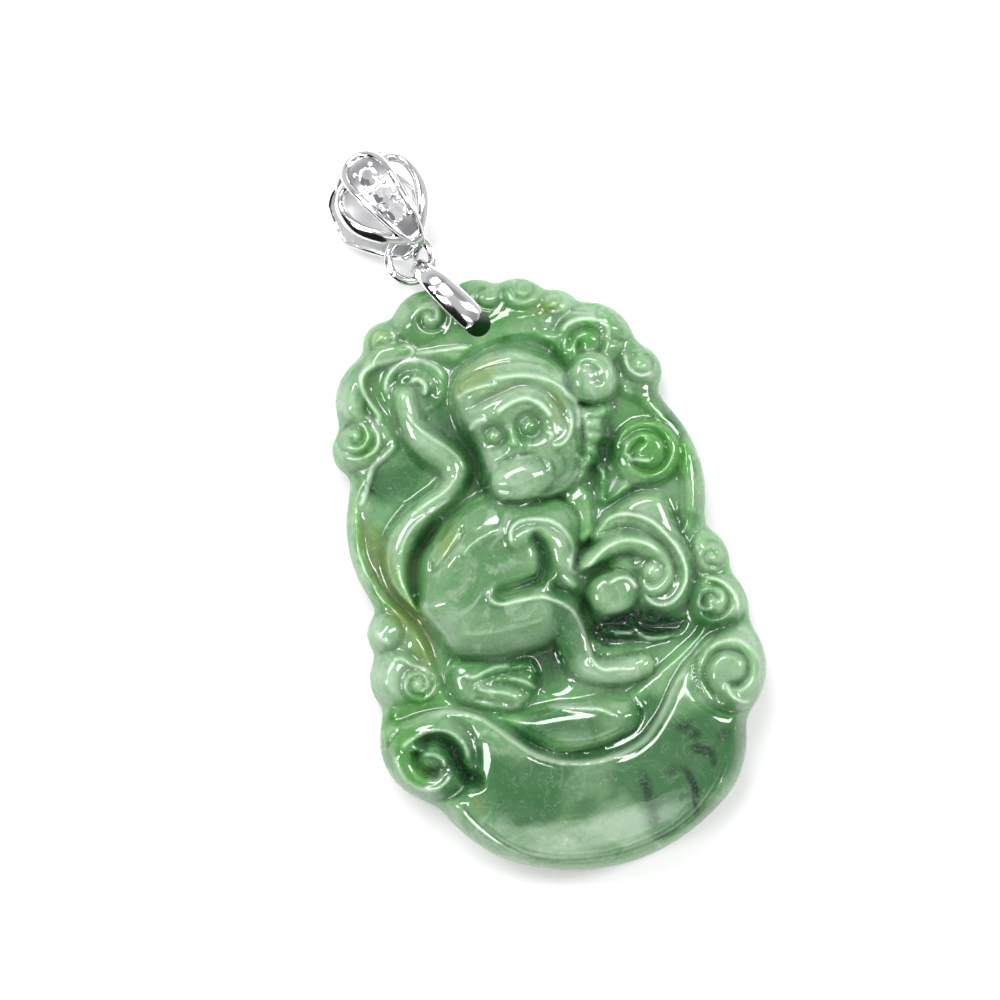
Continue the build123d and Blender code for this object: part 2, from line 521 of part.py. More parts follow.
def carve_dome(dome, points, height):
    turn = math.radians(dome.turn)
    x = points[:, 0] - dome.x
    y = points[:, 1] - dome.y
    across = (x * math.cos(turn) + y * math.sin(turn)) / dome.half_width
    along = (y * math.cos(turn) - x * math.sin(turn)) / dome.half_height
    reach = np.hypot(across, along)
    gap = (reach - 1) * min(dome.half_width, dome.half_height)
    top = dome.foot + (dome.crest - dome.foot) * quarter_round((1 - reach) / dome.rounding)
    return laid_on(height, gap, top)


def carve_limb(limb, points, height):
    line = curve_through(limb.line)
    distance, along = distance_to(points, line[:, :2])
    radius = np.interp(along, np.arange(len(line)), line[:, 2])
    last = limb.crest_end or limb.crest
    crest = limb.crest + (last - limb.crest) * along / (len(line) - 1)
    top = limb.foot + (crest - limb.foot) * quarter_round(1 - distance / radius)
    if not limb.blend:
        return laid_on(height, distance - radius, top)
    step = np.where(distance < radius, top - height, -MERGE_REACH)
    return height + 0.5 * (step + np.sqrt(step ** 2 + MERGE_SOFTNESS ** 2))


def carve_patch(patch, points, height):
    ring = curve_through(patch.outline, closed=True)
    distance = distance_to(points, ring)[0]
    gap = np.where(is_inside(points, ring), -distance, distance)
    top = patch.foot + (patch.crest - patch.foot) * quarter_round(-gap / patch.rounding)
    return laid_on(height, gap, top, 0 if patch.crest == patch.foot else MOAT_DEPTH)


def carve_stroke(stroke, points, height):
    dense = curve_through(stroke.points)
    distance, along = distance_to(points, dense)
    share = along / (len(dense) - 1)
    fade = ease(share / LINE_FADE) * ease((1 - share) / LINE_FADE)
    return height + stroke.rise * fade * np.exp(-(distance / max(stroke.width, FINEST_LINE)) ** 2)


def carve_scroll(scroll, points, height):
    share = np.linspace(0, 1, SCROLL_STEPS)
    angle = math.radians(scroll.start) + 2 * math.pi * scroll.turns * share
    radius = scroll.outer + (scroll.inner - scroll.outer) * share
    spiral = np.column_stack([scroll.x + radius * np.cos(angle), scroll.y + radius * np.sin(angle)])
    distance, along = distance_to(points, spiral)
    fade = ease(along / (SCROLL_STEPS - 1) / LINE_FADE)
    return height + scroll.rise * fade * np.exp(-(distance / max(scroll.width, FINEST_LINE)) ** 2)


CARVERS = {Dome: carve_dome, Limb: carve_limb, Patch: carve_patch, Stroke: carve_stroke, Scroll: carve_scroll}


def carved_height(points, ring):
    """Height of the carved front at each point, per cent of the thickness."""
    height = np.full(len(points), BORDER_HEIGHT)
    for form in CARVING:
        height = CARVERS[type(form)](form, points, height)
    inset = distance_to(points, ring)[0]
    return GIRDLE_HEIGHT + (height - GIRDLE_HEIGHT) * quarter_round(inset / GIRDLE_ROUNDING)


def place_on_stone(x, y, height):
    """Millimetres for a place on the grid and a height in per cent."""
    return (x * JADE_WIDTH / GRID_ACROSS, y * JADE_LENGTH / GRID_ALONG, height * JADE_THICKNESS / 100)


def triangle(corners):
    return Face(Wire.make_polygon([Vector(*corner) for corner in corners], close=True))


def jade_carving():
    """The stone: a net of triangles over the carved front, sloping rings and a flat field at the rear."""
    ring = outer_lobes()
    rounds = []
    for step in range(JADE_RINGS + 1):
        share = 1 - (1 - step / JADE_RINGS) ** RING_CROWDING
        rounds.append(points_round(ring, max(6 * step, 1)) * share)
    height = carved_height(np.vstack(rounds[:-1]), ring)
    height = np.append(height, np.full(6 * JADE_RINGS, GIRDLE_HEIGHT))
    spots = [Vector(*place_on_stone(x, y, z)) for (x, y), z in zip(np.vstack(rounds), height)]
    first = [0] + [1 + 3 * step * (step - 1) for step in range(1, JADE_RINGS + 2)]
    faces = []
    for step in range(1, JADE_RINGS + 1):
        for side in range(6):
            for part in range(step):
                outer = [first[step] + (side * step + part + more) % (6 * step) for more in (0, 1)]
                count = max(6 * (step - 1), 1)
                inner = [first[step - 1] + (side * (step - 1) + part + more) % count for more in (0, 1)]
                faces.append(triangle([spots[outer[0]], spots[outer[1]], spots[inner[0]]]))
                if part < step - 1:
                    faces.append(triangle([spots[inner[0]], spots[outer[1]], spots[inner[1]]]))
    edge = rounds[-1]
    girdle = spots[first[JADE_RINGS]:]
    for share, rise in REAR_RINGS + [(REAR_FLAT_SHARE, 0.0)]:
        inner = [Vector(*place_on_stone(x, y, rise)) for x, y in edge * share]
        for index in range(len(edge)):
            after = (index + 1) % len(edge)
            faces.append(triangle([girdle[index], inner[index], inner[after]]))
            faces.append(triangle([girdle[index], inner[after], girdle[after]]))
        girdle = inner
    faces.append(triangle(girdle))
    stone = Solid(Shell(faces))
    hole = Pos(HOLE_X, HOLE_Y, JADE_THICKNESS / 2) * Cylinder(HOLE_DIAMETER / 2, 2 * JADE_THICKNESS)
    return stone - hole


def leaf_loop():
    """Hairpin of polished metal over the stone's top edge, with a pin through its hole.

    Local +Y runs from the hole towards the jump ring."""
    radius = (LOOP_TOP - LOOP_BOTTOM) / 2
    reach = LOOP_REACH - radius
    straight = Pos(reach / 2, 0) * Rectangle(reach, 2 * radius)
    inner_width = 2 * (radius - LOOP_WALL)
    hollow = Pos(reach / 2, 0) * Rectangle(reach, inner_width) + Pos(reach, 0) * Circle(inner_width / 2)
    hairpin = straight + Pos(reach, 0) * Circle(radius) - hollow
    bent = extrude(Plane.YZ * hairpin, LOOP_WIDTH, both=True)
    middle = (LOOP_WIDTH / 2, LOOP_REACH * WIDEST_SHARE)
    neck = (LOOP_NECK_WIDTH / 2, LOOP_REACH)
    end = (LOOP_END_WIDTH / 2, LOOP_START)
    right = ThreePointArc(end, middle, neck)
    left = ThreePointArc((-neck[0], neck[1]), (-middle[0], middle[1]), (-end[0], end[1]))
    top = Line(neck, (-neck[0], neck[1]))
    foot = Line((-end[0], end[1]), end)
    leaf = make_face(right + top + left + foot)
    outline = extrude(leaf, 2 * radius, both=True)
    crown = Rotation(90, 0, 0) * Cylinder(radius, 4 * LOOP_REACH)
    pin = Pos(0, PIN_PLACE, 0) * Cylinder(PIN_DIAMETER / 2, 2 * radius - LOOP_WALL)
    lift = Pos(HOLE_X, HOLE_Y, LOOP_MIDDLE)
    return lift * Rotation(0, 0, LOOP_LEAN) * ((bent & outline & crown) + pin)


def jump_ring():
    return Pos(RING_X, RING_Y, LOOP_MIDDLE) * Torus((RING_DIAMETER - RING_WIRE) / 2, RING_WIRE / 2)


def bail_shell(outset, wall):
    """Hollow ellipsoid that the bail is cut from, its poles on the X axis."""
    half = [BAIL_WIDTH / 2 + outset, BAIL_LENGTH / 2 + outset, BAIL_DEPTH / 2 + outset]
    ball = Rotation(0, 90, 0) * Sphere(1)
    return scale(ball, by=tuple(half)) - scale(ball, by=tuple(size - wall for size in half))


def upright(face, low, high):
    """A flat face raised between two heights."""
    return extrude(Pos(0, 0, low) * face, high - low)


def petal(width, length, tip_width):
    """Outline of one petal up the Y axis: its narrow end at the origin, swelling sides and a round head."""
    shoulder = length - width / 2
    swell = (width / 2 * SWELL_SHARE, length * SWELL_PLACE)
    right = ThreePointArc((tip_width / 2, 0), swell, (width / 2, shoulder))
    head = ThreePointArc((width / 2, shoulder), (0, length), (-width / 2, shoulder))
    left = ThreePointArc((-width / 2, shoulder), (-swell[0], swell[1]), (-tip_width / 2, 0))
    foot = ThreePointArc((-tip_width / 2, 0), (0, -tip_width / 4), (tip_width / 2, 0))
    return make_face(right + head + left + foot)


def arcs_round(rows, side=1, last=None):
    """Arcs through the rows of an edge on the fan's grid, closed or ending at the last place."""
    square = FAN_LENGTH / FAN_GRID
    spots = [(side * row.x * square, row.y * square) for row in rows]
    spots.append(last or spots[0])
    arcs = []
    for row, start, end in zip(rows, spots, spots[1:]):
        arcs.append(ThreePointArc(start, (side * row.by_x * square, row.by_y * square), end))
    return arcs


def fan():
    """Outline of the three petals together, up from the tip."""
    square = FAN_LENGTH / FAN_GRID
    side, top = FAN_EDGE[0].x * square, (FAN_EDGE[-1].x * square, FAN_EDGE[-1].y * square)
    right = arcs_round(FAN_EDGE[:-1], 1, top)
    left = arcs_round(FAN_EDGE[:-1], -1, (-top[0], top[1]))
    return make_face(Wire(right + left + [Line(top, (-top[0], top[1])), Line((side, 0), (-side, 0))]))


def seat_places():
    """Where the three stones sit on the middle petal: place along it, height and tilt."""
    half_length = BAIL_LENGTH / 2 + SETTING_RISE
    half_depth = BAIL_DEPTH / 2 + SETTING_RISE
    places = []
    for index in range(STONE_COUNT):
        along = BAIL_LENGTH * MIDDLE_STONE_SHARE + (index - 1) * STONE_PITCH
        height = half_depth * math.sqrt(1 - (along / half_length) ** 2)
        tilt = math.degrees(math.atan2(along / half_length ** 2, height / half_depth ** 2))
        places.append(Pos(0, along, height - STONE_SINK) * Rotation(-tilt, 0, 0))
    return places


def foot():
    """Short bar that joins the tip of the fan to the tip of the band behind it."""
    front = Vector(0, (BAIL_WALL - FAN_LENGTH) / 2, FRONT_CUT)
    rear = Vector(-BAND_OFFSET_ACROSS, (BAIL_WALL - BAIL_LENGTH) / 2 - BAND_OFFSET_ALONG, REAR_CUT)
    stretch = (front - rear) * FOOT_REACH
    middle = (front + rear) / 2
    plane = Plane(middle - stretch / 2, z_dir=stretch)
    return extrude(plane * Circle(BAIL_TIP_WIDTH * FOOT_SHARE / 2), stretch.length)


def bail():
    """Fluted bail: three petals in front, two of them open, a plain band behind and a way for a chain."""
    tip = Pos(0, -FAN_LENGTH / 2)
    middle = tip * petal(PETAL_WIDTH, FAN_LENGTH, BAIL_TIP_WIDTH)
    windows = [tip * make_face(Wire(arcs_round(WINDOW_EDGE, side))) for side in (1, -1)]
    band = Pos(0, -BAIL_LENGTH / 2) * petal(BAND_WIDTH, BAIL_LENGTH, BAIL_TIP_WIDTH)
    shell = bail_shell(0, BAIL_WALL)
    behind = Pos(-BAND_OFFSET_ACROSS, -BAND_OFFSET_ALONG)
    body = shell & upright(middle + tip * fan(), FRONT_CUT, BAIL_DEPTH)
    body += behind * (shell & upright(band, -BAIL_DEPTH, REAR_CUT))
    body += foot()
    join_height = 2 * max(FRONT_CUT, -REAR_CUT) + BAIL_WALL
    body += shell & Pos(0, BAIL_LENGTH / 2) * Box(HEAD_WIDTH, 2 * HEAD_DEPTH, join_height)
    body += bail_shell(SETTING_RISE, BAIL_WALL + SETTING_RISE / 2) & upright(middle, FRONT_CUT, BAIL_DEPTH)
    for window in windows:
        body -= upright(window, 0, BAIL_DEPTH)
    floor = petal(PETAL_WIDTH - 2 * SETTING_RIM, FAN_LENGTH - 3 * SETTING_RIM, BAIL_TIP_WIDTH / 2)
    floor = tip * Pos(0, 2 * SETTING_RIM) * floor
    sunk = bail_shell(SETTING_RISE * 4, SETTING_RISE * 3 + STONE_SINK)
    body -= sunk & upright(floor, FRONT_CUT, 2 * BAIL_DEPTH)
    bead_reach = STONE_DIAMETER / 2 + BEAD_DIAMETER / 2 + SEAT_GAP
    bead = Pos(bead_reach, 0, -BEAD_DIAMETER / 4) * Sphere(BEAD_DIAMETER / 2)
    for place in seat_places():
        for turn in (45, 135, 225, 315):
            body += place * Rotation(0, 0, turn) * bead
    seat = Pos(0, 0, STONE_HEIGHT * (CROWN_SHARE - 0.5))
    seat *= Cylinder(STONE_DIAMETER / 2 + SEAT_GAP, STONE_HEIGHT + BAIL_WALL)
    for place in seat_places():
        body -= place * seat
    return body


def cut_stone():
    """Round brilliant: table, crown of 24 facets, thin girdle of 16 and 16 pavilion facets."""
    girdle = STONE_DIAMETER / 2
    top = STONE_HEIGHT * CROWN_SHARE
    rim = STONE_HEIGHT * GIRDLE_SHARE

    def wheel(radius, height, count, shift=0.0):
        angles = [2 * math.pi * (index + shift) / count for index in range(count)]
        return [Vector(radius * math.cos(angle), radius * math.sin(angle), height) for angle in angles]

    table = wheel(girdle * TABLE_SHARE, top, 8, 0.5)
    upper = wheel(girdle, 0, 16)
    lower = wheel(girdle, -rim, 16)
    culet = Vector(0, 0, top - STONE_HEIGHT)
    faces = [triangle(table)]
    for index in range(8):
        here = table[index]
        after = table[(index + 1) % 8]
        corners = [upper[(2 * index + more) % 16] for more in range(4)]
        faces.append(triangle([here, corners[0], corners[1]]))
        faces.append(triangle([here, corners[1], corners[2]]))
        faces.append(triangle([here, corners[2], after]))
    for index in range(16):
        after = (index + 1) % 16
        faces.append(triangle([upper[index], lower[index], lower[after], upper[after]]))
        faces.append(triangle([lower[index], culet, lower[after]]))
    return Solid(Shell(faces))


def build():
    """All the pieces by name, with the middle of the pendant's footprint at the origin."""
    turned = Rotation(0, 0, BAIL_LEAN) * Rotation(BAIL_PITCH, BAIL_ROLL, 0)
    setting = turned * bail()
    rest = Pos(BAIL_X, BAIL_Y, -setting.bounding_box().min.Z)
    pieces = {
        "jade_carving": jade_carving(),
        "leaf_loop": leaf_loop(),
        "jump_ring": jump_ring(),
        "bail": rest * setting,
    }
    for index, place in enumerate(seat_places()):
        pieces[f"stone_{index + 1}"] = rest * turned * place * cut_stone()
    boxes = [piece.bounding_box() for piece in pieces.values()]
    low = [min(box.min.X for box in boxes), min(box.min.Y for box in boxes)]
    high = [max(box.max.X for box in boxes), max(box.max.Y for box in boxes)]
    middle = Pos(-(low[0] + high[0]) / 2, -(low[1] + high[1]) / 2, 0)
    return {name: middle * piece for name, piece in pieces.items()}


os.makedirs("parts", exist_ok=True)
for node, solid in build().items():
    export_step(solid, f"parts/{node}.step")
    print(node, f"{solid.volume:.2f} mm3")
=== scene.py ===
"""Visual model of a carved jade pendant with its polished bail, lying on a pale table."""

import logging
import math
from collections.abc import Sequence
from dataclasses import dataclass, field
from enum import Enum
from typing import NamedTuple

import bpy
import numpy as np
from mathutils import Euler, Matrix, Vector


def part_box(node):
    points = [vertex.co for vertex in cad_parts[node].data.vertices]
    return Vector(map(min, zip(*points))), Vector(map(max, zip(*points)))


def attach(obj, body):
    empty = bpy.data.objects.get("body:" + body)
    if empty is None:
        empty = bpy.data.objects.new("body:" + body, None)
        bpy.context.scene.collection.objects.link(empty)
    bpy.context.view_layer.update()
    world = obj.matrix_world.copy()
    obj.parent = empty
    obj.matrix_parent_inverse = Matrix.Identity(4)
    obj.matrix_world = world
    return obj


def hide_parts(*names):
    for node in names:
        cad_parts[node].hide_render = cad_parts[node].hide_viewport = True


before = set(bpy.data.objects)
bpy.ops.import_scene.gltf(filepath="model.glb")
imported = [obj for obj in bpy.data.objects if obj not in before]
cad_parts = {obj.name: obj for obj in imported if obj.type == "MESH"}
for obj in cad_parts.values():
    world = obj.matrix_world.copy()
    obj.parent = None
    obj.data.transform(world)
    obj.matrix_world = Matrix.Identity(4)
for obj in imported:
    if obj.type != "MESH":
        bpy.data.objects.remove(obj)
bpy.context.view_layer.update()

MM = 0.001
LOG = logging.getLogger("pendant")


class Bulge(NamedTuple):
    """One outer lobe: where it starts, and how far it swells past a straight line to the next."""

    x: float
    y: float
    swell: float


class Dome(NamedTuple):
    """A rounded boss with an oval edge."""

    x: float
    y: float
    half_width: float
    half_height: float
    turn: float
    foot: float
    crest: float
    rounding: float = 1.0


class Limb(NamedTuple):
    """A rounded strand along a curve through x, y and radius."""

    line: list
    foot: float
    crest: float
    crest_end: float = 0.0
    blend: bool = False


class Patch(NamedTuple):
    """A raised or sunk field with a free outline and a rounded edge."""

    outline: list
    foot: float
    crest: float
    rounding: float


class Stroke(NamedTuple):
    """A fine ridge, or a groove where the rise is negative."""

    points: list
    width: float
    rise: float


class Scroll(NamedTuple):
    """A fine spiral ridge or groove."""

    x: float
    y: float
    outer: float
    inner: float
    start: float
    turns: float
    width: float
    rise: float


class Tint(Enum):
    """The colours that cloud the stone, each kept in an attribute of its own."""

    DARK = "dark_green"
    DEEP = "deep_green"
    VIVID = "vivid_green"
    WARM = "warm_green"
    MILKY = "milky_green"


class Stain(NamedTuple):
    """A soft cloud of colour in the stone."""

    tint: Tint
    x: float
    y: float
    half_width: float
    half_height: float
    turn: float
    strength: float


def clouds(tint: Tint, *rows: tuple) -> list[Stain]:
    """Clouds of one tint, each from its place, half sizes, turn and strength."""
    return [Stain(tint, *row) for row in rows]


# Places and lengths in the tables are squares of a tenth of a millimetre.
# Heights are per cent of the stone's thickness.
# The outer lobes run clockwise from the notch at the top.
LOBES = [Bulge(*row) for row in (
    (4, 202, 7.5), (39, 198, 7), (71, 183.5, 4.5), (91.5, 167.5, 11.5), (121, 127, 12.5),
    (122, 90, 15.5), (126.5, -12, 7.5), (134.5, -48, 5.5), (136.5, -87, 14.5), (113.5, -150, 5),
    (88, -198, 29), (-83, -194, 4), (-116, -142, 20), (-130, -67, 8), (-124, -27, 7.5), (-113, 2, 13.5),
    (-100, 98, 11.5), (-97.5, 134, 12), (-66, 179, 9.5), (-40, 196, 11.5),
)]

# The forms of the carving, laid on in this order
CARVING = {
    # Hollow behind the figure
    "hollow": Patch([
        (-103, 77), (-92, 91), (-84, 101), (-73, 106), (-62, 112), (-64, 122), (-68, 134), (-71, 150),
        (-72, 162), (-62, 168), (-48, 168), (-30, 166), (-16, 158), (0, 156), (20, 158), (42, 158),
        (58, 152), (70, 142), (84, 138), (99, 122), (100, 98), (110, 88), (117, 74), (122, 50),
        (121, 22), (114, -2), (109, -16), (111, -60), (100, -82), (60, -100), (0, -120), (-60, -90),
        (-84, -72), (-88, -30), (-95, -8), (-103, 8), (-108, 22), (-110, 45)], 40, 40, 6),
    # Cloud lobes round the border
    "lobe_a": Dome(-20, 191, 19.5, 17.5, 0, 47, 60),
    "curl_a": Scroll(-13, 190, 15, 3, 140, -1.3, 1.9, -6),
    "lobe_b": Dome(-52, 185, 14, 12.5, 0, 47, 59),
    "curl_b": Scroll(-50, 185, 9, 4, 220, -1.0, 1.6, -4),
    "lobe_c": Limb([
        (-85, 133, 9), (-87, 145, 11), (-83, 157, 11), (-75, 167, 9), (-63, 175, 6)], 46, 61),
    "tongue": Patch([
        (-77, 168), (-66, 177), (-55, 181), (-43, 180), (-35, 175), (-33, 171), (-38, 169), (-50, 169),
        (-62, 169)], 50, 57, 5),
    "bank": Patch([
        (-32, 170), (-20, 168), (-8, 166), (6, 164), (9, 160), (4, 156), (-3, 152), (-12, 155),
        (-22, 160), (-32, 165)], 45, 56, 9),
    "tongue_line": Stroke([
        (-70, 127), (-69, 135), (-72, 144), (-74, 152), (-74, 160), (-71, 166), (-65, 169), (-48, 169),
        (-36, 168), (-32, 171), (-34, 175), (-42, 180)], 1.7, 6),
    "bank_line": Stroke([(-34, 169), (-22, 167), (-10, 165), (2, 163), (8, 160)], 1.9, 4),
    "lobe_d": Dome(-91, 120, 19, 18.5, 0, 46, 61),
    "curl_d": Scroll(-91, 125, 15, 3, 20, -1.5, 2.0, -7),
    "line_d": Stroke([(-78, 139), (-75, 130), (-74, 120), (-79, 112), (-91, 109)], 1.7, 4),
    "line_e": Stroke([(-61, 113), (-73, 106), (-84, 101), (-90, 93), (-96, 84), (-103, 75)], 1.9, 7),
    "rim_e": Stroke([(-104, 74), (-112, 58), (-115, 40), (-111, 20)], 4.0, 4),
    "lobe_f": Dome(-113, -14, 14, 13.5, 0, 46, 61),
    "line_f": Stroke([(-118, -9), (-117, -16), (-111, -24)], 1.6, 3),
    "lobe_g": Dome(-115, -47, 20, 20, 0, 46, 62),
    "ball_g": Dome(-101, -56, 14, 14, 0, 48, 63),
    "curl_g": Scroll(-101, -56, 12, 3, 140, -1.5, 1.9, -7),
    "line_g": Stroke([(-114, -33), (-107, -35), (-101, -42), (-94, -47), (-91, -54)], 1.6, 4),
    "lobe_k": Dome(124, -30, 14, 16, 0, 46, 61),
    "curl_k": Scroll(126, -34, 11, 3, 120, -1.2, 1.8, -6),
    "lobe_j": Dome(119, -66, 20, 20, 0, 46, 63),
    "curl_j": Scroll(116, -65, 14, 5, 110, -1.2, 2.2, -8),
    "line_j": Stroke([(114, -45), (123, -50), (130, -58), (133, -68), (130, -79)], 1.6, 5),
    "hook_j": Stroke([(109, -58), (106, -63), (109, -68), (115, -69)], 1.5, 4),
    "lobe_n": Dome(89, 139, 26, 25, 0, 46, 60, 0.45),
    "ring_n": Stroke([(71, 149), (79, 155), (90, 155), (100, 151), (105, 144), (103, 134)], 1.7, 5),
    "curl_n": Scroll(88, 137, 14, 6, 190, -1.1, 2.2, -7),
    "lobe_r": Dome(110, 146, 10, 15, 20, 47, 60, 0.8),
    "lobe_m": Dome(120, 111, 14, 13, 0, 47, 61),
    "curl_m": Scroll(121, 112, 9, 6, 90, 0.9, 1.8, -5),
    "line_m": Stroke([(111, 124), (110, 116), (112, 109), (118, 104), (126, 104)], 1.6, 5),
    "facet_n": Patch([
        (55, 159), (61, 155), (73, 150), (70, 144), (67, 141), (61, 147), (56, 153)], 50, 56, 4),
    "lobe_o": Dome(76, 173, 12, 10, -35, 47, 58),
    "curl_o": Scroll(73, 173, 8, 5, 200, -0.9, 1.6, -4),
    "lobe_p": Dome(55, 187, 16, 12.5, -12, 47, 58),
    "curl_p": Scroll(57, 189, 8.5, 5, 150, 1.0, 1.7, -5),
    "lobe_q": Dome(25, 192, 17, 13, 0, 47, 57),
    "curl_q": Scroll(30, 191, 10, 6, 20, -0.8, 1.7, -4),
    "border_right": Stroke([(139, 56), (140, 34), (135, 12), (126, -8)], 16.0, 10),
    # Swirl beyond the tail's tip
    "swirl": Dome(-38, 146, 24, 22, 0, 40, 50, 0.8),
    "swirl_ring": Stroke([
        (-60, 145), (-57, 157), (-46, 165), (-31, 164), (-20, 155), (-16, 143)], 1.9, 4),
    "swirl_groove": Stroke([
        (-54, 148), (-48, 157), (-38, 159), (-28, 154), (-23, 145), (-27, 134)], 2.4, -6),
    "swirl_hook": Stroke([(-41, 150), (-36, 151), (-32, 147), (-32, 142), (-35, 138)], 1.9, 8),
    # Curl at the right and the drapery beside it
    "wisp": Limb([(64, 26, 1), (76, 30, 4), (88, 36, 7), (100, 44, 12)], 44, 57),
    "peach_curl": Dome(104, 50, 25, 25, 0, 44, 60, 0.6),
    "peach_groove": Scroll(104, 51, 19, 9, 175, -1.2, 2.6, -9),
    "peach_hook": Stroke([(91, 55), (92, 50), (98, 47), (106, 44)], 1.6, 5),
    "peach_line": Stroke([(88, 52), (91, 59), (94, 64)], 1.4, 3),
    "strap": Limb([(67, 57, 2), (70, 50, 3.5), (68, 40, 4), (64, 29, 3)], 42, 50),
    "strap_line": Stroke([(67, 53), (70, 47), (69, 41)], 1.4, 4),
    # Pierced shadow under the curls
    "crevice": Patch([
        (28, -52), (45, -56), (60, -57), (68, -64), (78, -67), (94, -70), (86, -78), (66, -79),
        (45, -76), (32, -70)], 30, 30, 4),
    "twig": Limb([(36, -61, 3), (46, -65, 4), (57, -69, 3.5)], 34, 46),
    "twig_line": Stroke([(42, -64), (48, -66), (56, -69)], 1.3, 4),
    "twig_two": Limb([(57, -58, 2.5), (58, -66, 3), (65, -74, 4), (82, -79, 3)], 34, 48),
    "twig_two_line": Stroke([(58, -68), (62, -74), (71, -78), (81, -79)], 1.3, 4),
    # Great curl held by the figure
    "shell": Patch([
        (46, 6), (58, 15), (70, 21), (85, 25), (98, 24), (106, 18), (108, 6), (109, -6), (113, -20),
        (113, -33), (107, -46), (102, -56), (95, -62), (85, -64), (75, -60), (66, -50), (58, -30),
        (48, -10)], 48, 63, 9),
    "shell_line": Stroke([
        (52, 9), (62, 14), (72, 15), (82, 11), (92, 3), (99, -9), (104, -22), (105, -35), (102, -45),
        (94, -53), (86, -56), (77, -54), (72, -47), (70, -39)], 1.6, 6),
    "shell_groove": Stroke([
        (50, 4), (60, 6), (72, 5), (83, -1), (92, -12), (97, -24), (97, -36), (92, -45)], 2.4, -6),
    "curl_band": Limb([
        (30, -14, 3), (40, -10, 6.5), (52, -6, 8.5), (66, -5, 8.5), (78, -9, 8.5), (86, -17, 8),
        (90, -27, 7.5), (89, -37, 7), (83, -43, 6), (76, -42, 5), (73, -36, 4.5)], 58, 82, 68),
    "band_line": Stroke([
        (33, -16), (42, -12), (50, -7), (60, -3.5), (70, -3.5), (80, -8), (87, -14),
        (91, -22)], 2.0, 4),
    "curl_eye": Dome(82, -31, 8.5, 8, 0, 60, 72),
    "fist": Dome(50, -37, 20, 17.5, -8, 46, 63, 0.55),
    "fist_line": Stroke([(48, -30), (56, -28), (62, -29), (66, -33), (68, -41)], 1.6, 5),
    # Drapery behind the arm
    "scarf": Patch([
        (36, 46), (50, 48), (57, 37), (55, 22), (50, 8), (42, 2), (36, 8), (38, 26)], 50, 61, 6),
    # Tail
    "tail": Limb([
        (-86, -7, 1.5), (-89, 2, 3.5), (-91, 12, 6.5), (-91, 25, 9), (-87, 37, 11), (-79, 47, 12),
        (-67, 56, 11.5), (-55, 62, 10.5), (-43, 67, 9.5), (-34, 73, 10), (-30, 82, 12), (-33, 91, 13),
        (-41, 101, 13), (-47, 111, 11.5), (-49, 122, 10), (-49, 133, 9.5), (-48, 141, 9)], 46, 72, 66),
    "tail_line_1": Stroke([(-86, -4), (-89, 8), (-90, 18), (-89, 28)], 1.5, 3),
    "tail_line_2": Stroke([(-86, 33), (-80, 43), (-68, 53), (-50, 59), (-34, 64)], 1.5, 3),
    "tail_line_3": Stroke([(-72, 59), (-54, 65), (-40, 69), (-30, 76)], 1.5, 3),
    "tail_line_4": Stroke([
        (-50, 129), (-46, 119), (-39, 109), (-30, 98), (-24, 87), (-23, 76)], 1.6, 3),
    # Body with the raised thigh
    "torso": Patch([
        (-86, -8), (-83, 5), (-78, 19), (-72, 30), (-62, 39), (-50, 47), (-35, 53), (-18, 58), (-5, 57),
        (8, 50), (22, 45), (36, 38), (43, 22), (38, 6), (33, -10), (31, -26), (22, -46), (6, -56),
        (-8, -59), (-25, -58), (-45, -55), (-62, -50), (-73, -43), (-79, -28)], 50, 86, 27),
    "tuft_edge": Stroke([
        (-36, 50), (-47, 45), (-58, 35), (-65, 25), (-67, 17), (-57, 21), (-46, 29), (-38, 38),
        (-34, 46)], 1.7, -4),
    "tuft_line": Stroke([(-65, 23), (-62, 30), (-55, 37)], 1.4, 3),
    "flank": Stroke([(-44, 19), (-36, 26), (-22, 30), (-8, 30)], 3.4, 4),
    # Folded arm, its crease and the thigh
    "upper_arm": Limb([
        (-5, 20, 9), (5, 22, 9.5), (15, 19, 10), (22, 10, 10), (22, -2, 9.5), (18, -12, 9),
        (22, -22, 7)], 68, 91, 86, 1),
    "arm_line": Stroke([
        (-6, 13), (-7, 22), (-4, 29), (3, 32), (12, 31), (22, 27), (29, 20), (33, 10), (33, 2),
        (29, -6), (27, -11), (29, -15), (34, -16)], 1.7, 5),
    "arm_crease": Stroke([
        (7, 24), (11, 14), (11, 2), (6, -9), (-4, -12), (-18, -12), (-32, -12)], 4.2, -15),
    "elbow_crease": Stroke([(7, -16), (18, -24), (26, -33), (29, -44), (29, -56), (31, -68)], 3.2, -10),
    # Crossed leg
    "shin": Limb([
        (-22, -29, 9), (-4, -32, 11), (8, -41, 12), (11, -54, 11.5), (12, -68, 11), (14, -79, 10),
        (26, -88, 9.5), (42, -92, 10), (54, -92, 9)], 56, 81, 66, 1),
    "leg_line": Stroke([
        (-30, -7), (-34, -12), (-32, -17), (-26, -20), (-16, -21), (0, -23), (8, -28), (15, -34),
        (20, -42), (22, -52), (22, -64), (22, -78), (27, -86), (38, -89), (50, -94)], 1.6, 5),
    # Far foot with its toes, and the gap beside it
    "gap": Patch([
        (-26, -60), (-12, -60), (-2, -62), (0, -74), (3, -88), (-4, -94), (-16, -92), (-24, -84),
        (-26, -72)], 36, 36, 4),
    "paw": Patch([
        (-80, -62), (-78, -54), (-71, -48), (-60, -52), (-45, -58), (-30, -61), (-21, -64), (-18, -72),
        (-20, -80), (-27, -89), (-36, -96), (-46, -95), (-56, -91), (-67, -85), (-77, -78),
        (-80, -70)], 46, 62, 9),
    "toe_line_1": Stroke([(-70, -58), (-63, -63), (-55, -62), (-45, -61), (-33, -63)], 1.6, 4),
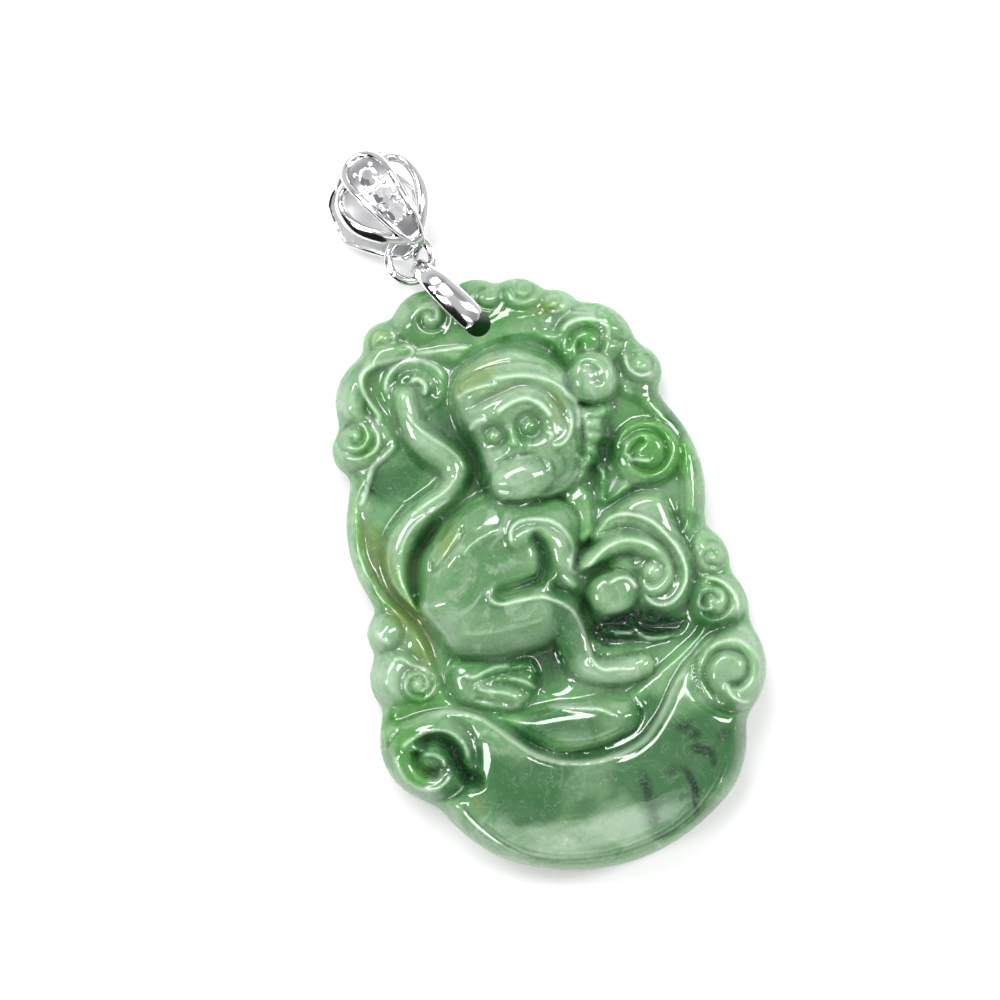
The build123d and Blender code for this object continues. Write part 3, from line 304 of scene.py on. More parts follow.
    "toe_groove_1": Stroke([(-58, -67), (-46, -67), (-32, -69), (-21, -71)], 2.0, -6),
    "toe_line_2": Stroke([(-62, -67), (-60, -73), (-53, -77), (-44, -81), (-35, -88)], 1.6, 4),
    "toe_groove_2": Stroke([(-52, -71), (-43, -74), (-34, -80), (-28, -88)], 2.0, -6),
    "toe_line_3": Stroke([(-40, -71), (-32, -75), (-26, -80), (-22, -86)], 1.6, 4),
    "toe_groove_3": Stroke([(-68, -77), (-58, -82), (-48, -87), (-40, -92)], 2.0, -5),
    # Near foot
    "sole": Patch([
        (-53, -97), (-40, -97), (-25, -98), (-10, -100), (5, -103), (20, -105), (33, -108), (41, -115),
        (43, -125), (36, -134), (22, -138), (5, -139), (-12, -136), (-26, -130), (-38, -119),
        (-46, -108)], 46, 66, 15),
    "sole_line": Stroke([(-22, -98), (-8, -103), (8, -109), (17, -113), (26, -122)], 1.7, 4),
    "heel_groove": Stroke([(27, -100), (35, -105), (39, -113), (38, -122)], 1.7, -4),
    # Cloud bed
    "boat": Patch([
        (-105, -79), (-90, -80), (-76, -84), (-65, -92), (-57, -102), (-49, -113), (-41, -123),
        (-32, -131), (-20, -138), (-5, -143), (10, -145), (26, -145), (40, -141), (50, -134),
        (60, -125), (68, -116), (78, -106), (92, -96), (108, -90), (125, -85), (142, -96), (150, -115),
        (140, -138), (120, -152), (122, -170), (100, -204), (50, -234), (0, -240), (-50, -234),
        (-90, -210), (-114, -175), (-124, -150), (-140, -142), (-152, -115), (-150, -90),
        (-130, -78)], 54, 68, 7),
    "bowl_swell": Stroke([
        (-112, -116), (-72, -152), (-36, -164), (4, -170), (42, -166), (78, -150),
        (114, -112)], 34.0, 12),
    "boat_line": Stroke([
        (-128, -84), (-112, -80), (-95, -80), (-84, -82), (-74, -87), (-65, -94), (-57, -104),
        (-49, -115), (-41, -125), (-32, -133), (-20, -140), (-5, -145), (10, -147), (26, -146),
        (40, -142), (50, -135), (60, -126), (68, -117), (78, -107), (92, -97), (106, -92)], 2.0, 5),
    "bowl_edge": Stroke([
        (-101, -139), (-97, -151), (-91, -164), (-80, -180), (-66, -194), (-48, -204), (-24, -211),
        (0, -214), (24, -213), (46, -208), (66, -198), (82, -185), (94, -170)], 1.8, -4),
    "scroll_left": Dome(-108, -109, 33, 31, 0, 58, 73, 0.5),
    "left_turn": Stroke([
        (-129, -97), (-120, -92), (-105, -90), (-93, -93), (-86, -100), (-83, -110),
        (-85, -120)], 1.8, 4),
    "left_groove": Stroke([
        (-76, -134), (-86, -132), (-91, -122), (-92, -109), (-98, -98), (-108, -95),
        (-117, -99)], 4.2, -20),
    "left_eye": Stroke([(-117, -99), (-119, -109), (-114, -118), (-106, -120)], 3.2, -14),
    "left_hook": Stroke([(-114, -104), (-107, -106), (-102, -111), (-101, -118)], 1.5, 4),
    "left_under": Stroke([
        (-99, -121), (-103, -127), (-112, -130), (-122, -127), (-130, -118), (-133, -106),
        (-132, -96)], 1.8, 4),
    "scroll_right": Dome(114, -116, 27, 29, 0, 60, 79, 0.5),
    "right_groove": Stroke([
        (104, -138), (97, -128), (94, -115), (99, -104), (110, -99), (121, -103), (126, -112),
        (122, -122), (113, -125), (107, -119)], 2.6, -11),
    "right_hook": Stroke([(107, -122), (107, -130), (112, -137), (120, -141)], 1.6, 5),
    "right_turn": Stroke([
        (98, -97), (111, -93), (124, -96), (132, -106), (134, -118), (128, -131)], 1.8, 3),
    # Head
    "ruff": Patch([
        (64, 98), (76, 95), (86, 94), (89, 89), (87, 84), (82, 80), (81, 75), (80, 70), (75, 66),
        (73, 61), (70, 56), (62, 52), (54, 45), (40, 44), (40, 80)], 58, 78, 11),
    "ruff_rib_1": Stroke([(70, 88), (78, 85), (85, 82)], 1.7, -5),
    "ruff_rib_2": Stroke([(68, 80), (75, 76), (82, 72)], 1.7, -5),
    "ruff_rib_3": Stroke([(65, 72), (70, 68), (75, 63)], 1.7, -5),
    "ruff_rib_4": Stroke([(60, 65), (65, 60), (69, 55)], 1.7, -5),
    "head": Patch([
        (-18, 116), (-17, 130), (-13, 140), (-5, 148), (8, 153), (22, 155), (36, 153), (48, 147),
        (58, 139), (66, 129), (71, 117), (70, 103), (67, 88), (64, 72), (57, 57), (47, 45), (34, 40),
        (20, 42), (6, 46), (-5, 53), (-12, 61), (-14, 70), (-12, 80), (-12, 90),
        (-16, 101)], 54, 92, 26),
    "ear_root": Limb([(60, 112, 11), (72, 112, 13), (84, 113, 14)], 60, 79, 79, 1),
    "ear": Dome(83, 113, 18, 19.5, 0, 56, 77, 0.5),
    "ear_line": Stroke([(75, 130), (87, 131), (97, 123), (100, 112), (96, 101), (85, 95)], 1.6, 3),
    "ear_dent": Stroke([(77, 124), (84, 123), (88, 115), (85, 106)], 3.0, -4),
    "hair_line_1": Stroke([(-15, 128), (-4, 131), (8, 131), (20, 129)], 1.8, 3),
    "hair_line_2": Stroke([(12, 134), (26, 132), (38, 129), (50, 123), (59, 115), (66, 105)], 1.8, 4),
    "hair_line_3": Stroke([(-12, 138), (2, 142), (20, 143), (38, 140), (52, 132), (62, 122)], 1.8, -3),
    "brow": Stroke([(8, 109), (20, 113), (32, 114), (40, 109), (45, 101), (47, 94)], 1.9, 6),
    "brow_groove": Stroke([
        (-12, 118), (2, 121), (18, 123), (32, 124), (44, 119), (52, 110), (56, 97), (53, 84)], 3.0, -6),
    "brow_left": Stroke([(-12, 104), (-5, 108), (4, 108)], 2.4, 4),
    "face_line": Stroke([(60, 112), (67, 101), (66, 91), (62, 80)], 2.2, 5),
    "cheek_line": Stroke([(61, 98), (60, 88), (55, 79), (48, 75), (41, 76)], 1.6, 4),
    "socket_right": Dome(30, 94, 10, 10, 0, 80, 84, 0.6),
    "socket_left": Dome(4, 95, 9, 9, 0, 77, 80, 0.6),
    "eye_right": Dome(30, 94, 6.5, 6.5, 0, 80, 88, 1),
    "eye_left": Dome(4, 95, 6, 6, 0, 77, 85, 1),
    "nose": Stroke([(16, 99), (17, 91), (15, 83)], 3.0, 4),
    "eye_corner": Stroke([(39, 87), (44, 84), (40, 80)], 1.5, 3),
    "muzzle": Dome(13, 60, 24, 17, -4, 78, 97, 0.8),
    "muzzle_line": Stroke([(11, 76), (22, 74), (31, 72), (35, 65), (34, 57)], 1.7, 3),
    "mouth": Stroke([(-8, 61), (0, 56), (10, 54), (22, 56)], 1.8, -2.2),
    "jaw_groove": Stroke([(42, 74), (46, 65), (44, 56), (36, 49)], 2.4, -4),
    "jaw_line": Stroke([(55, 66), (58, 60), (57, 54)], 1.5, 3),
    "chin_line": Stroke([(14, 48), (28, 44), (40, 45), (50, 50), (56, 57)], 1.7, 3),
}

# Clouds of colour in the stone
STAINS = [
    # The left scroll and below it
    *clouds(Tint.DARK,
            (-107, -117, 9, 6, 0, 0.7), (-91, -119, 5, 12, 0, 0.55), (-96, -104, 8, 6, -40, 0.45),
            (-84, -131, 8, 4, 5, 0.5)),
    *clouds(Tint.DEEP,
            (-112, -100, 16, 8, 10, 0.6), (-95, -112, 14, 18, 0, 0.7), (-92, -132, 18, 7, 10, 0.9)),
    *clouds(Tint.VIVID,
            (-127, -103, 8, 15, 0, 1.1), (-118, -87, 16, 5, 0, 0.9), (-120, -118, 9, 8, 0, 0.8),
            (-101, -71, 18, 6, 0, 1.0), (-126, -75, 9, 4, 0, 0.8)),
    # Streaks and clouds of the bowl
    *clouds(Tint.DEEP,
            (46, -160, 66, 22, 0, 0.72), (-58, -150, 40, 20, -25, 0.55), (32, -152, 8, 14, 0, 0.9),
            (30, -176, 8, 18, 0, 0.8), (50, -168, 20, 14, 0, 0.9), (72, -155, 22, 15, 0, 0.9),
            (93, -151, 10, 13, 0, 0.9), (62, -182, 20, 12, 0, 0.6), (86, -172, 14, 11, 0, 0.6),
            (60, -204, 16, 7, 0, 0.6), (33, -209, 14, 5, 0, 0.5), (-60, -153, 10, 8, 0, 0.7),
            (-51, -162, 15, 6, 35, 0.9), (-42, -168, 8, 6, 30, 0.9), (-18, -176, 9, 6, 0, 0.4),
            (-66, -132, 20, 10, -20, 0.5), (-78, -118, 8, 12, 0, 0.5), (-30, -140, 14, 5, -30, 0.5)),
    *clouds(Tint.DARK,
            (30, -177, 4, 15, -3, 0.85), (69, -142, 6, 4, 0, 0.8), (75, -150, 5, 4, 0, 0.8),
            (73, -160, 5, 3, -30, 0.9), (79, -164, 6, 3, -30, 0.9), (81, -173, 3, 4, 0, 0.7),
            (51, -168, 7, 5, 0, 0.6), (62, -180, 2.5, 9, 10, 0.9), (60, -197, 2.5, 10, -12, 0.8),
            (94, -156, 7, 5, 0, 0.6), (27, -200, 9, 5, 0, 0.4), (32, -212, 9, 2.5, 0, 0.6)),
    # Crevices under the figure and the curls: darker clouds, partly the stone's own deep green and
    # partly painted shade
    *clouds(Tint.DARK,
            (58, -62, 13, 8, 0, 1.1), (44, -60, 16, 7, -5, 0.9), (76, -70, 18, 6, -12, 1.1),
            (36, -68, 6, 4, -40, 0.69), (-8, -71, 8, 10, 0, 0.45), (-14, -61, 10, 4, 0, 0.35)),
    *clouds(Tint.DEEP,
            (60, -68, 34, 14, -10, 0.92), (112, -82, 22, 5, 0, 0.92), (108, -62, 7, 14, 0, 0.69),
            (-14, -74, 16, 16, 0, 1), (-36, -66, 14, 6, 0, 0.58), (-37, -118, 6, 10, 40, 1),
            (-5, -140, 36, 4, 0, 1), (48, -122, 8, 12, -40, 0.92), (0, -118, 30, 10, -8, 0.69),
            (-24, -108, 14, 6, -20, 0.58), (29, -45, 4, 18, 0, 0.92), (18, -26, 8, 5, -40, 0.8),
            (12, 4, 5, 16, 0, 1), (2, -11, 14, 5, 0, 1), (12, -40, 8, 14, 0, 0.4),
            (54, -14, 16, 4, 5, 0.8), (71, -24, 4, 9, 0, 0.8), (46, 2, 7, 5, 0, 0.92),
            (111, -12, 4, 20, 0, 0.69), (100, -20, 5, 16, 20, 0.34)),
    # The hollow behind the figure: deeper clouds, partly the stone's own green and partly painted shade
    # in the crevices
    *clouds(Tint.DARK, (-89, 86, 3, 4, 0, 0.7)),
    *clouds(Tint.DEEP,
            (-68, 87, 20, 14, 15, 1), (-86, 88, 6, 9, 0, 0.8), (-64, 42, 16, 6, 40, 1),
            (-12, 80, 6, 24, 0, 0.91), (-20, 68, 8, 6, 0, 0.8), (-27, 118, 9, 16, 0, 0.69),
            (-18, 100, 7, 12, 0, 0.69), (-46, 155, 10, 6, 0, 0.8), (-31, 138, 5, 6, 0, 0.6),
            (66, 137, 5, 9, 25, 0.8), (32, 160, 8, 5, 0, 0.51), (82, 70, 9, 12, -30, 0.8),
            (74, 56, 10, 9, 0, 0.8), (130, 66, 5, 16, 15, 0.8), (92, 29, 22, 4, 5, 0.8),
            (66, 38, 6, 14, 0, 0.6), (118, 92, 12, 8, -40, 0.6), (107, 118, 5, 10, 0, 0.6),
            (30, 94, 8, 8, 0, 0.55), (30, 42, 26, 3, -8, 0.6), (4, 46, 12, 3, -25, 0.6),
            (-23, 190, 6, 9, 0, 0.8), (-6, 180, 8, 6, 0, 0.6), (-76, 137, 4, 12, 0, 0.69)),
    *clouds(Tint.VIVID,
            (-68, 150, 9, 14, 0, 0.6), (-82, 120, 6, 12, 0, 0.5), (108, 44, 14, 14, 0, 0.7),
            (127, 46, 6, 20, 0, 0.8), (92, 146, 18, 8, 0, 0.5), (20, 176, 14, 8, 0, 0.5),
            (46, 172, 20, 7, -15, 0.4), (-24, 178, 18, 8, 0, 0.4), (118, -50, 10, 10, 0, 0.5),
            (100, -138, 10, 8, 0, 0.5), (-110, -60, 10, 8, 0, 0.5), (84, 62, 34, 26, 0, 0.45),
            (112, 66, 16, 30, 0, 0.45), (14, 176, 60, 10, 0, 0.35), (-90, 118, 14, 18, 0, 0.35),
            (70, 138, 30, 14, 0, 0.35), (-58, 84, 30, 16, 0, 0.35)),
    # Beside the shin
    *clouds(Tint.DEEP, (13, -34, 9, 26, 0, 0.5), (6, -60, 8, 16, 0, 0.3)),
    # Olive bands
    *clouds(Tint.WARM,
            (-102, 50, 10, 26, 5, 0.7), (-100, 18, 9, 20, 0, 0.5), (-80, 26, 4, 14, -20, 0.5),
            (-50, 35, 16, 7, 40, 0.8), (-90, -18, 10, 14, 0, 0.6), (-90, -44, 8, 18, 0, 0.6),
            (-97, -6, 10, 8, 0, 0.5), (4, 140, 20, 8, 10, 0.8), (55, 105, 5, 14, 0, 0.6),
            (-66, 160, 8, 8, 0, 0.6), (66, 171, 12, 6, -20, 0.7), (-52, 187, 9, 7, 0, 0.6),
            (-87, -146, 5, 9, 0, 0.8), (22, 124, 26, 4, 0, 0.4)),
    # Milky fields; the two long clouds along the bowl's lower edge and the small one on the lower fist
    # are partly painted window reflections
    *clouds(Tint.MILKY,
            (-12, -197, 60, 11, 0, 0.7), (20, -193, 26, 10, 0, 0.5), (-88, -172, 9, 22, 30, 0.5),
            (-10, -160, 16, 14, 0, 0.5), (-28, -54, 34, 4, 0, 0.7), (-122, -47, 12, 20, 0, 0.7),
            (-118, -16, 9, 11, 0, 0.5), (90, 10, 14, 12, 0, 0.5), (118, -113, 20, 22, 0, 0.5),
            (-118, 32, 5, 32, 0, 0.6), (-88, 152, 8, 18, 0, 0.7), (-100, 115, 10, 14, 0, 0.5),
            (10, 66, 24, 18, 0, 0.6), (34, 118, 28, 10, 0, 0.5), (82, 112, 15, 17, 0, 0.5),
            (73, 80, 12, 14, 0, 0.6), (-40, 104, 13, 22, 0, 0.7), (-58, 60, 30, 7, 25, 0.6),
            (12, -72, 9, 16, 0, 0.5), (28, -90, 20, 8, -10, 0.7), (8, 20, 16, 10, 0, 0.4),
            (76, -62, 12, 5, 0, 0.6), (48, -48, 12, 5, 0, 0.6), (-66, -84, 16, 5, -25, 0.4)),
]


@dataclass
class Carving:
    """The carved front, worked out from the tables above as heights over the grid of squares."""

    border_height: float = 52.0
    groove_floor: float = 28.0
    edge_softness: float = 3.2
    moat_depth: float = 1.2
    moat_width: float = 3.0
    crevice_start: float = 50.0
    crevice_share: float = 0.6
    girdle_height: float = 29.0
    girdle_rounding: float = 14.0
    line_fade: float = 0.12
    merge_reach: float = 40.0
    merge_softness: float = 4.0
    scroll_steps: int = 40
    curve_steps: int = 6
    lobe_steps: int = 14
    lobe_smoothing: int = 3
    limb_margin: float = 12.0
    stroke_margin: float = 2.5

    def outline(self) -> np.ndarray:
        """Dense closed outline of the stone, counter-clockwise.

        Returns:
            Points in squares, the first repeated at the end.
        """
        dense = []
        for start, end in zip(LOBES, LOBES[1:] + LOBES[:1]):
            foot = np.array([start.x, start.y])
            chord = np.array([end.x, end.y]) - foot
            length = np.linalg.norm(chord)
            outward = np.array([-chord[1], chord[0]]) / length
            share = np.linspace(0, 1, self.lobe_steps, endpoint=False)[:, None]
            radius = (length**2 / 4 + start.swell**2) / (2 * start.swell)
            swell = np.sqrt(radius**2 - (length * (share - 0.5)) ** 2) - radius + start.swell
            dense.append(foot + chord * share + outward * swell)
        ring = np.vstack(dense)[::-1]
        for _ in range(self.lobe_smoothing):
            ring = (np.roll(ring, 1, 0) + 2 * ring + np.roll(ring, -1, 0)) / 4
        return np.vstack([ring, ring[:1]])

    def curve(self, points: Sequence, closed: bool = False) -> np.ndarray:
        """Dense smooth curve through a few points.

        Args:
            points: Rows of coordinates, with a radius as a third column where there is one.
            closed: Whether the curve ends where it starts.

        Returns:
            The points of the curve.
        """
        corners = np.asarray(points, float)
        if closed:
            padded = np.vstack([corners[-1], corners, corners[:2]])
            spans = len(corners)
        else:
            padded = np.vstack([2 * corners[0] - corners[1], corners, 2 * corners[-1] - corners[-2]])
            spans = len(corners) - 1
        t = np.linspace(0, 1, self.curve_steps, endpoint=False)[:, None]
        dense = []
        for index in range(spans):
            a, b, c, d = padded[index : index + 4]
            bend = 2 * a - 5 * b + 4 * c - d + t * (3 * b - a - 3 * c + d)
            dense.append(b + 0.5 * t * (c - a + t * bend))
        dense.append(corners[:1] if closed else corners[-1:])
        return np.vstack(dense)

    def laid_on(self, height: np.ndarray, gap: np.ndarray, top: np.ndarray, moat: float) -> np.ndarray:
        """Lay a form on the carving.

        Args:
            height: The heights so far.
            gap: Distance to the form's edge, negative inside it.
            top: The form's own height.
            moat: Depth of the groove round the form.

        Returns:
            The new heights.
        """
        groove = moat * np.exp(-(((gap - self.edge_softness) / self.moat_width) ** 2))
        ground = np.maximum(height - groove, np.minimum(height, self.groove_floor))
        cover = ease((self.edge_softness - gap) / (2 * self.edge_softness))
        return ground * (1 - cover) + top * cover

    def dome(self, form: Dome, points: np.ndarray, height: np.ndarray) -> np.ndarray:
        """Heights with one boss laid on.

        Args:
            form: The boss.
            points: Places in squares.
            height: The heights so far.

        Returns:
            The new heights.
        """
        turn = math.radians(form.turn)
        x, y = points[:, 0] - form.x, points[:, 1] - form.y
        across = (x * math.cos(turn) + y * math.sin(turn)) / form.half_width
        along = (y * math.cos(turn) - x * math.sin(turn)) / form.half_height
        reach = np.hypot(across, along)
        gap = (reach - 1) * min(form.half_width, form.half_height)
        top = form.foot + (form.crest - form.foot) * quarter_round((1 - reach) / form.rounding)
        return self.laid_on(height, gap, top, self.moat_depth)

    def limb(self, form: Limb, points: np.ndarray, height: np.ndarray) -> np.ndarray:
        """Heights with one strand laid on, or merged with its ground.

        Args:
            form: The strand.
            points: Places in squares.
            height: The heights so far.

        Returns:
            The new heights.
        """
        line = self.curve(form.line)
        distance, along = distance_to(points, line[:, :2])
        radius = np.interp(along, np.arange(len(line)), line[:, 2])
        last = form.crest_end or form.crest
        crest = form.crest + (last - form.crest) * along / (len(line) - 1)
        top = form.foot + (crest - form.foot) * quarter_round(1 - distance / radius)
        if not form.blend:
            return self.laid_on(height, distance - radius, top, self.moat_depth)
        step = np.where(distance < radius, top - height, -self.merge_reach)
        return height + 0.5 * (step + np.sqrt(step**2 + self.merge_softness**2))

    def patch(self, form: Patch, points: np.ndarray, height: np.ndarray) -> np.ndarray:
        """Heights with one field laid on.

        Args:
            form: The field.
            points: Places in squares.
            height: The heights so far.

        Returns:
            The new heights.
        """
        ring = self.curve(form.outline, closed=True)
        distance = distance_to(points, ring)[0]
        gap = np.where(is_inside(points, ring), -distance, distance)
        top = form.foot + (form.crest - form.foot) * quarter_round(-gap / form.rounding)
        return self.laid_on(height, gap, top, 0 if form.crest == form.foot else self.moat_depth)

    def stroke(self, form: Stroke, points: np.ndarray, height: np.ndarray) -> np.ndarray:
        """Heights with one ridge or groove added.

        Args:
            form: The ridge or groove.
            points: Places in squares.
            height: The heights so far.

        Returns:
            The new heights.
        """
        dense = self.curve(form.points)
        distance, along = distance_to(points, dense)
        share = along / (len(dense) - 1)
        fade = ease(share / self.line_fade) * ease((1 - share) / self.line_fade)
        return height + form.rise * fade * np.exp(-((distance / form.width) ** 2))

    def scroll(self, form: Scroll, points: np.ndarray, height: np.ndarray) -> np.ndarray:
        """Heights with one spiral added.

        Args:
            form: The spiral.
            points: Places in squares.
            height: The heights so far.

        Returns:
            The new heights.
        """
        share = np.linspace(0, 1, self.scroll_steps)
        angle = math.radians(form.start) + 2 * math.pi * form.turns * share
        radius = form.outer + (form.inner - form.outer) * share
        spiral = np.column_stack([form.x + radius * np.cos(angle), form.y + radius * np.sin(angle)])
        distance, along = distance_to(points, spiral)
        fade = ease(along / (self.scroll_steps - 1) / self.line_fade)
        return height + form.rise * fade * np.exp(-((distance / form.width) ** 2))

    def reach_of(self, form: NamedTuple) -> tuple[np.ndarray, np.ndarray]:
        """Lowest and highest corner of the area that a form can touch.

        Args:
            form: Any form of the table.

        Returns:
            The two corners, in squares.
        """
        margin = 4 * self.moat_width
        if isinstance(form, Dome | Scroll):
            size = max(form.half_width, form.half_height) if isinstance(form, Dome) else form.outer
            middle = np.array([form.x, form.y])
            return middle - size - margin, middle + size + margin
        if isinstance(form, Patch):
            corners = np.asarray(form.outline, float)
        else:
            corners = np.asarray(form.line if isinstance(form, Limb) else form.points, float)[:, :2]
            margin += self.limb_margin if isinstance(form, Limb) else self.stroke_margin * form.width
        return corners.min(0) - margin, corners.max(0) + margin

    def heights(self, points: np.ndarray) -> np.ndarray:
        """Height of the carved front at each point.

        Args:
            points: Places in squares.

        Returns:
            Heights in per cent of the thickness, rounded off towards the outline.
        """
        carvers = {Dome: self.dome, Limb: self.limb, Patch: self.patch, Stroke: self.stroke,
                   Scroll: self.scroll}
        height = np.full(len(points), self.border_height)
        for form in CARVING.values():
            low, high = self.reach_of(form)
            near = np.all((points > low) & (points < high), axis=1)
            height[near] = carvers[type(form)](form, points[near], height[near])
        height += np.maximum(self.crevice_start - height, 0) * (1 - self.crevice_share)
        inset = distance_to(points, self.outline())[0]
        shoulder = quarter_round(inset / self.girdle_rounding)
        return self.girdle_height + (height - self.girdle_height) * shoulder


def ease(share: np.ndarray) -> np.ndarray:
    """Smooth step from 0 to 1."""
    share = np.clip(share, 0, 1)
    return share * share * (3 - 2 * share)


def quarter_round(share: np.ndarray) -> np.ndarray:
    """Height of a quarter circle, from 0 at its foot to 1."""
    return np.sqrt(1 - (1 - np.clip(share, 0, 1)) ** 2)


def distance_to(points: np.ndarray, line: np.ndarray) -> tuple[np.ndarray, np.ndarray]:
    """Least distance from each point to a polyline.

    Args:
        points: Places to measure from.
        line: Corners of the polyline.

    Returns:
        The distances, and how many spans along the line each nearest place is.
    """
    least = np.full(len(points), np.inf)
    along = np.zeros(len(points))
    x, y = points[:, 0], points[:, 1]
    for index in range(len(line) - 1):
        start, span = line[index], line[index + 1] - line[index]
        dx, dy = x - start[0], y - start[1]
        share = np.clip((dx * span[0] + dy * span[1]) / max(span @ span, 1e-9), 0, 1)
        gap = (dx - share * span[0]) ** 2 + (dy - share * span[1]) ** 2
        closer = gap < least
        least[closer] = gap[closer]
        along[closer] = index + share[closer]
    return np.sqrt(least), along


def is_inside(points: np.ndarray, ring: np.ndarray) -> np.ndarray:
    """Which points lie inside a closed polyline.

    Args:
        points: Places to test.
        ring: The closed polyline.

    Returns:
        True for each point inside.
    """
    x, y = points.T
    crossings = np.zeros(len(points), int)
    for start, end in zip(ring[:-1], ring[1:]):
        rise = end[1] - start[1]
        reach = start[0] + (y - start[1]) * (end[0] - start[0]) / (rise if rise else 1.0)
        crossings += ((start[1] > y) != (end[1] > y)) & (x < reach)
    return crossings % 2 == 1


class Wiring:
    """Places and joins the nodes of one material, world or shader group."""

    MIX_INPUTS = (0, 6, 7)  # Blender's numbers for a colour mix's share, first and second colour

    def __init__(self, tree: bpy.types.NodeTree) -> None:
        """Start on a node tree."""
        self.tree = tree

    def feed(self, socket: bpy.types.NodeSocket, value: object) -> None:
        """Lead another socket into an input, or set the input to a value."""
        if isinstance(value, bpy.types.NodeSocket):
            self.tree.links.new(value, socket)
        else:
            socket.default_value = value

    def fill(self, node: bpy.types.Node, **inputs: object) -> None:
        """Feed a node's inputs by name, with underscores for spaces."""
        for name, value in inputs.items():
            title = name.replace("_", " ")
            used = (socket for socket in node.inputs if socket.name == title and socket.enabled)
            self.feed(next(used), value)

    def put(self, kind: str, settings: dict | None = None, **inputs: object) -> bpy.types.Node:
        """Add one node.

        Args:
            kind: Blender's name of the node without its ShaderNode start.
            settings: The node's own options.
            inputs: Values or sockets for its inputs.

        Returns:
            The new node.
        """
        node = self.tree.nodes.new("ShaderNode" + kind)
        for name, value in (settings or {}).items():
            setattr(node, name, value)
        self.fill(node, **inputs)
        return node

    def math(self, operation: str, *values: object, kind: str = "Math") -> bpy.types.NodeSocket:
        """The number that a math node makes of values or sockets.

        Args:
            operation: Blender's name of the sum.
            values: What goes in.
            kind: Math, or VectorMath for vectors.

        Returns:
            The number.
        """
        node = self.put(kind, {"operation": operation})
        for socket, value in zip(node.inputs, values):
            self.feed(socket, value)
        return node.outputs["Value"]

    def times(self, first: object, second: object) -> bpy.types.NodeSocket:
        """The product of two values or sockets."""
        return self.math("MULTIPLY", first, second)

    def blend(self, share: object, first: object, second: object) -> bpy.types.NodeSocket:
        """The mix of two colours, each a tuple or a socket, with so great a share of the second.

        Args:
            share: How much of the second, from 0 to 1.
            first: A tuple or a socket.
            second: A tuple or a socket.

        Returns:
            The mixed colour.
        """
        node = self.put("Mix", {"data_type": "RGBA"})
        for index, value in zip(self.MIX_INPUTS, (share, first, second)):
            self.feed(node.inputs[index], (*value, 1.0) if isinstance(value, tuple) else value)
        return node.outputs[2]

    def noise(self, place: bpy.types.NodeSocket, scale: float, detail: float = 3.0,
              roughness: float = 0.5, distortion: float = 0.0) -> bpy.types.NodeSocket:
        """Soft noise from 0 to 1 over a place, with so many features to a metre.

        Args:
            place: The coordinates.
            scale: Features to a metre.
            detail: Layers of finer noise.
            roughness: How strong the finer layers are.
            distortion: How far the pattern is bent.

        Returns:
            The noise.
        """
        node = self.put("TexNoise", Vector=place, Scale=scale, Detail=detail, Roughness=roughness,
                        Distortion=distortion)
        return node.outputs["Fac"]

    def span(self, value: bpy.types.NodeSocket, low: float, high: float,
             start: float = 0.0, end: float = 1.0) -> bpy.types.NodeSocket:
        """A value's stretch between low and high, smoothly laid over start to end.

        Args:
            value: What is looked at.
            low: Where the stretch starts.
            high: Where it ends.
            start: The result up to the low end.
            end: The result from the high end on.

        Returns:
            The result.
        """
        node = self.put("MapRange", {"interpolation_type": "SMOOTHSTEP"}, Value=value,
                        From_Min=low, From_Max=high, To_Min=start, To_Max=end)
        return node.outputs["Result"]

    def upward(self) -> bpy.types.NodeSocket:
        """How far the surface faces up, from -1 to 1."""
        return self.put("SeparateXYZ", Vector=self.put("NewGeometry").outputs["Normal"]).outputs["Z"]


class PolishMarks:
    """Shader group for the faint unevenness that hand polishing leaves."""

    name = "polish marks"
    sockets = (("Place", "Vector", "INPUT"), ("Fineness", "Float", "INPUT"),
               ("Height", "Float", "OUTPUT"), ("Haze", "Float", "OUTPUT"))

    def tree(self) -> bpy.types.NodeTree:
        """The group, built the first time that it is asked for, with its Height and Haze.

        Returns:
            The group's node tree.
        """
        if self.name in bpy.data.node_groups:
            return bpy.data.node_groups[self.name]
        tree = bpy.data.node_groups.new(self.name, "ShaderNodeTree")
        for name, kind, side in self.sockets:
            tree.interface.new_socket(name=name, in_out=side, socket_type="NodeSocket" + kind)
        wires = Wiring(tree)
        entry, leave = tree.nodes.new("NodeGroupInput").outputs, tree.nodes.new("NodeGroupOutput")
        broad = wires.noise(entry["Place"], entry["Fineness"], 2.0)
        fine = wires.noise(entry["Place"], wires.times(entry["Fineness"], 5.0), 3.0)
        wires.fill(leave, Height=wires.math("ADD", broad, wires.times(fine, 0.12)),
                   Haze=wires.span(fine, 0.45, 0.75))
        return tree

    def lay(self, wires: Wiring, place: bpy.types.NodeSocket, fineness: float, strength: float,
            depth: float) -> tuple[bpy.types.NodeSocket, bpy.types.NodeSocket]:
        """Put the group in a material.

        Args:
            wires: The material's wiring.
            place: The coordinates that the marks follow.
            fineness: Broad marks to a metre.
            strength: How strongly they tilt the surface.
            depth: Their depth in metres.

        Returns:
            The haze, from 0 to 1, and the tilted normal.
        """
        marks = wires.put("Group", {"node_tree": self.tree()}, Place=place, Fineness=fineness)
        bump = wires.put("Bump", Strength=strength, Distance=depth, Height=marks.outputs["Height"])
        return marks.outputs["Haze"], bump.outputs["Normal"]


@dataclass(frozen=True)
class Finish:
    """What every finish shares: a new material with its wiring and shader."""

    name: str

    def start(self) -> tuple[bpy.types.Material, Wiring, bpy.types.Node, bpy.types.NodeSocket]:
        """A new material, its wiring, its Principled shader and its Object coordinates.

        Returns:
            The four, in that order.
        """
        material = bpy.data.materials.new(self.name)
        material.use_nodes = True
        wires = Wiring(material.node_tree)
        shader = material.node_tree.nodes["Principled BSDF"]
        return material, wires, shader, wires.put("TexCoord").outputs["Object"]


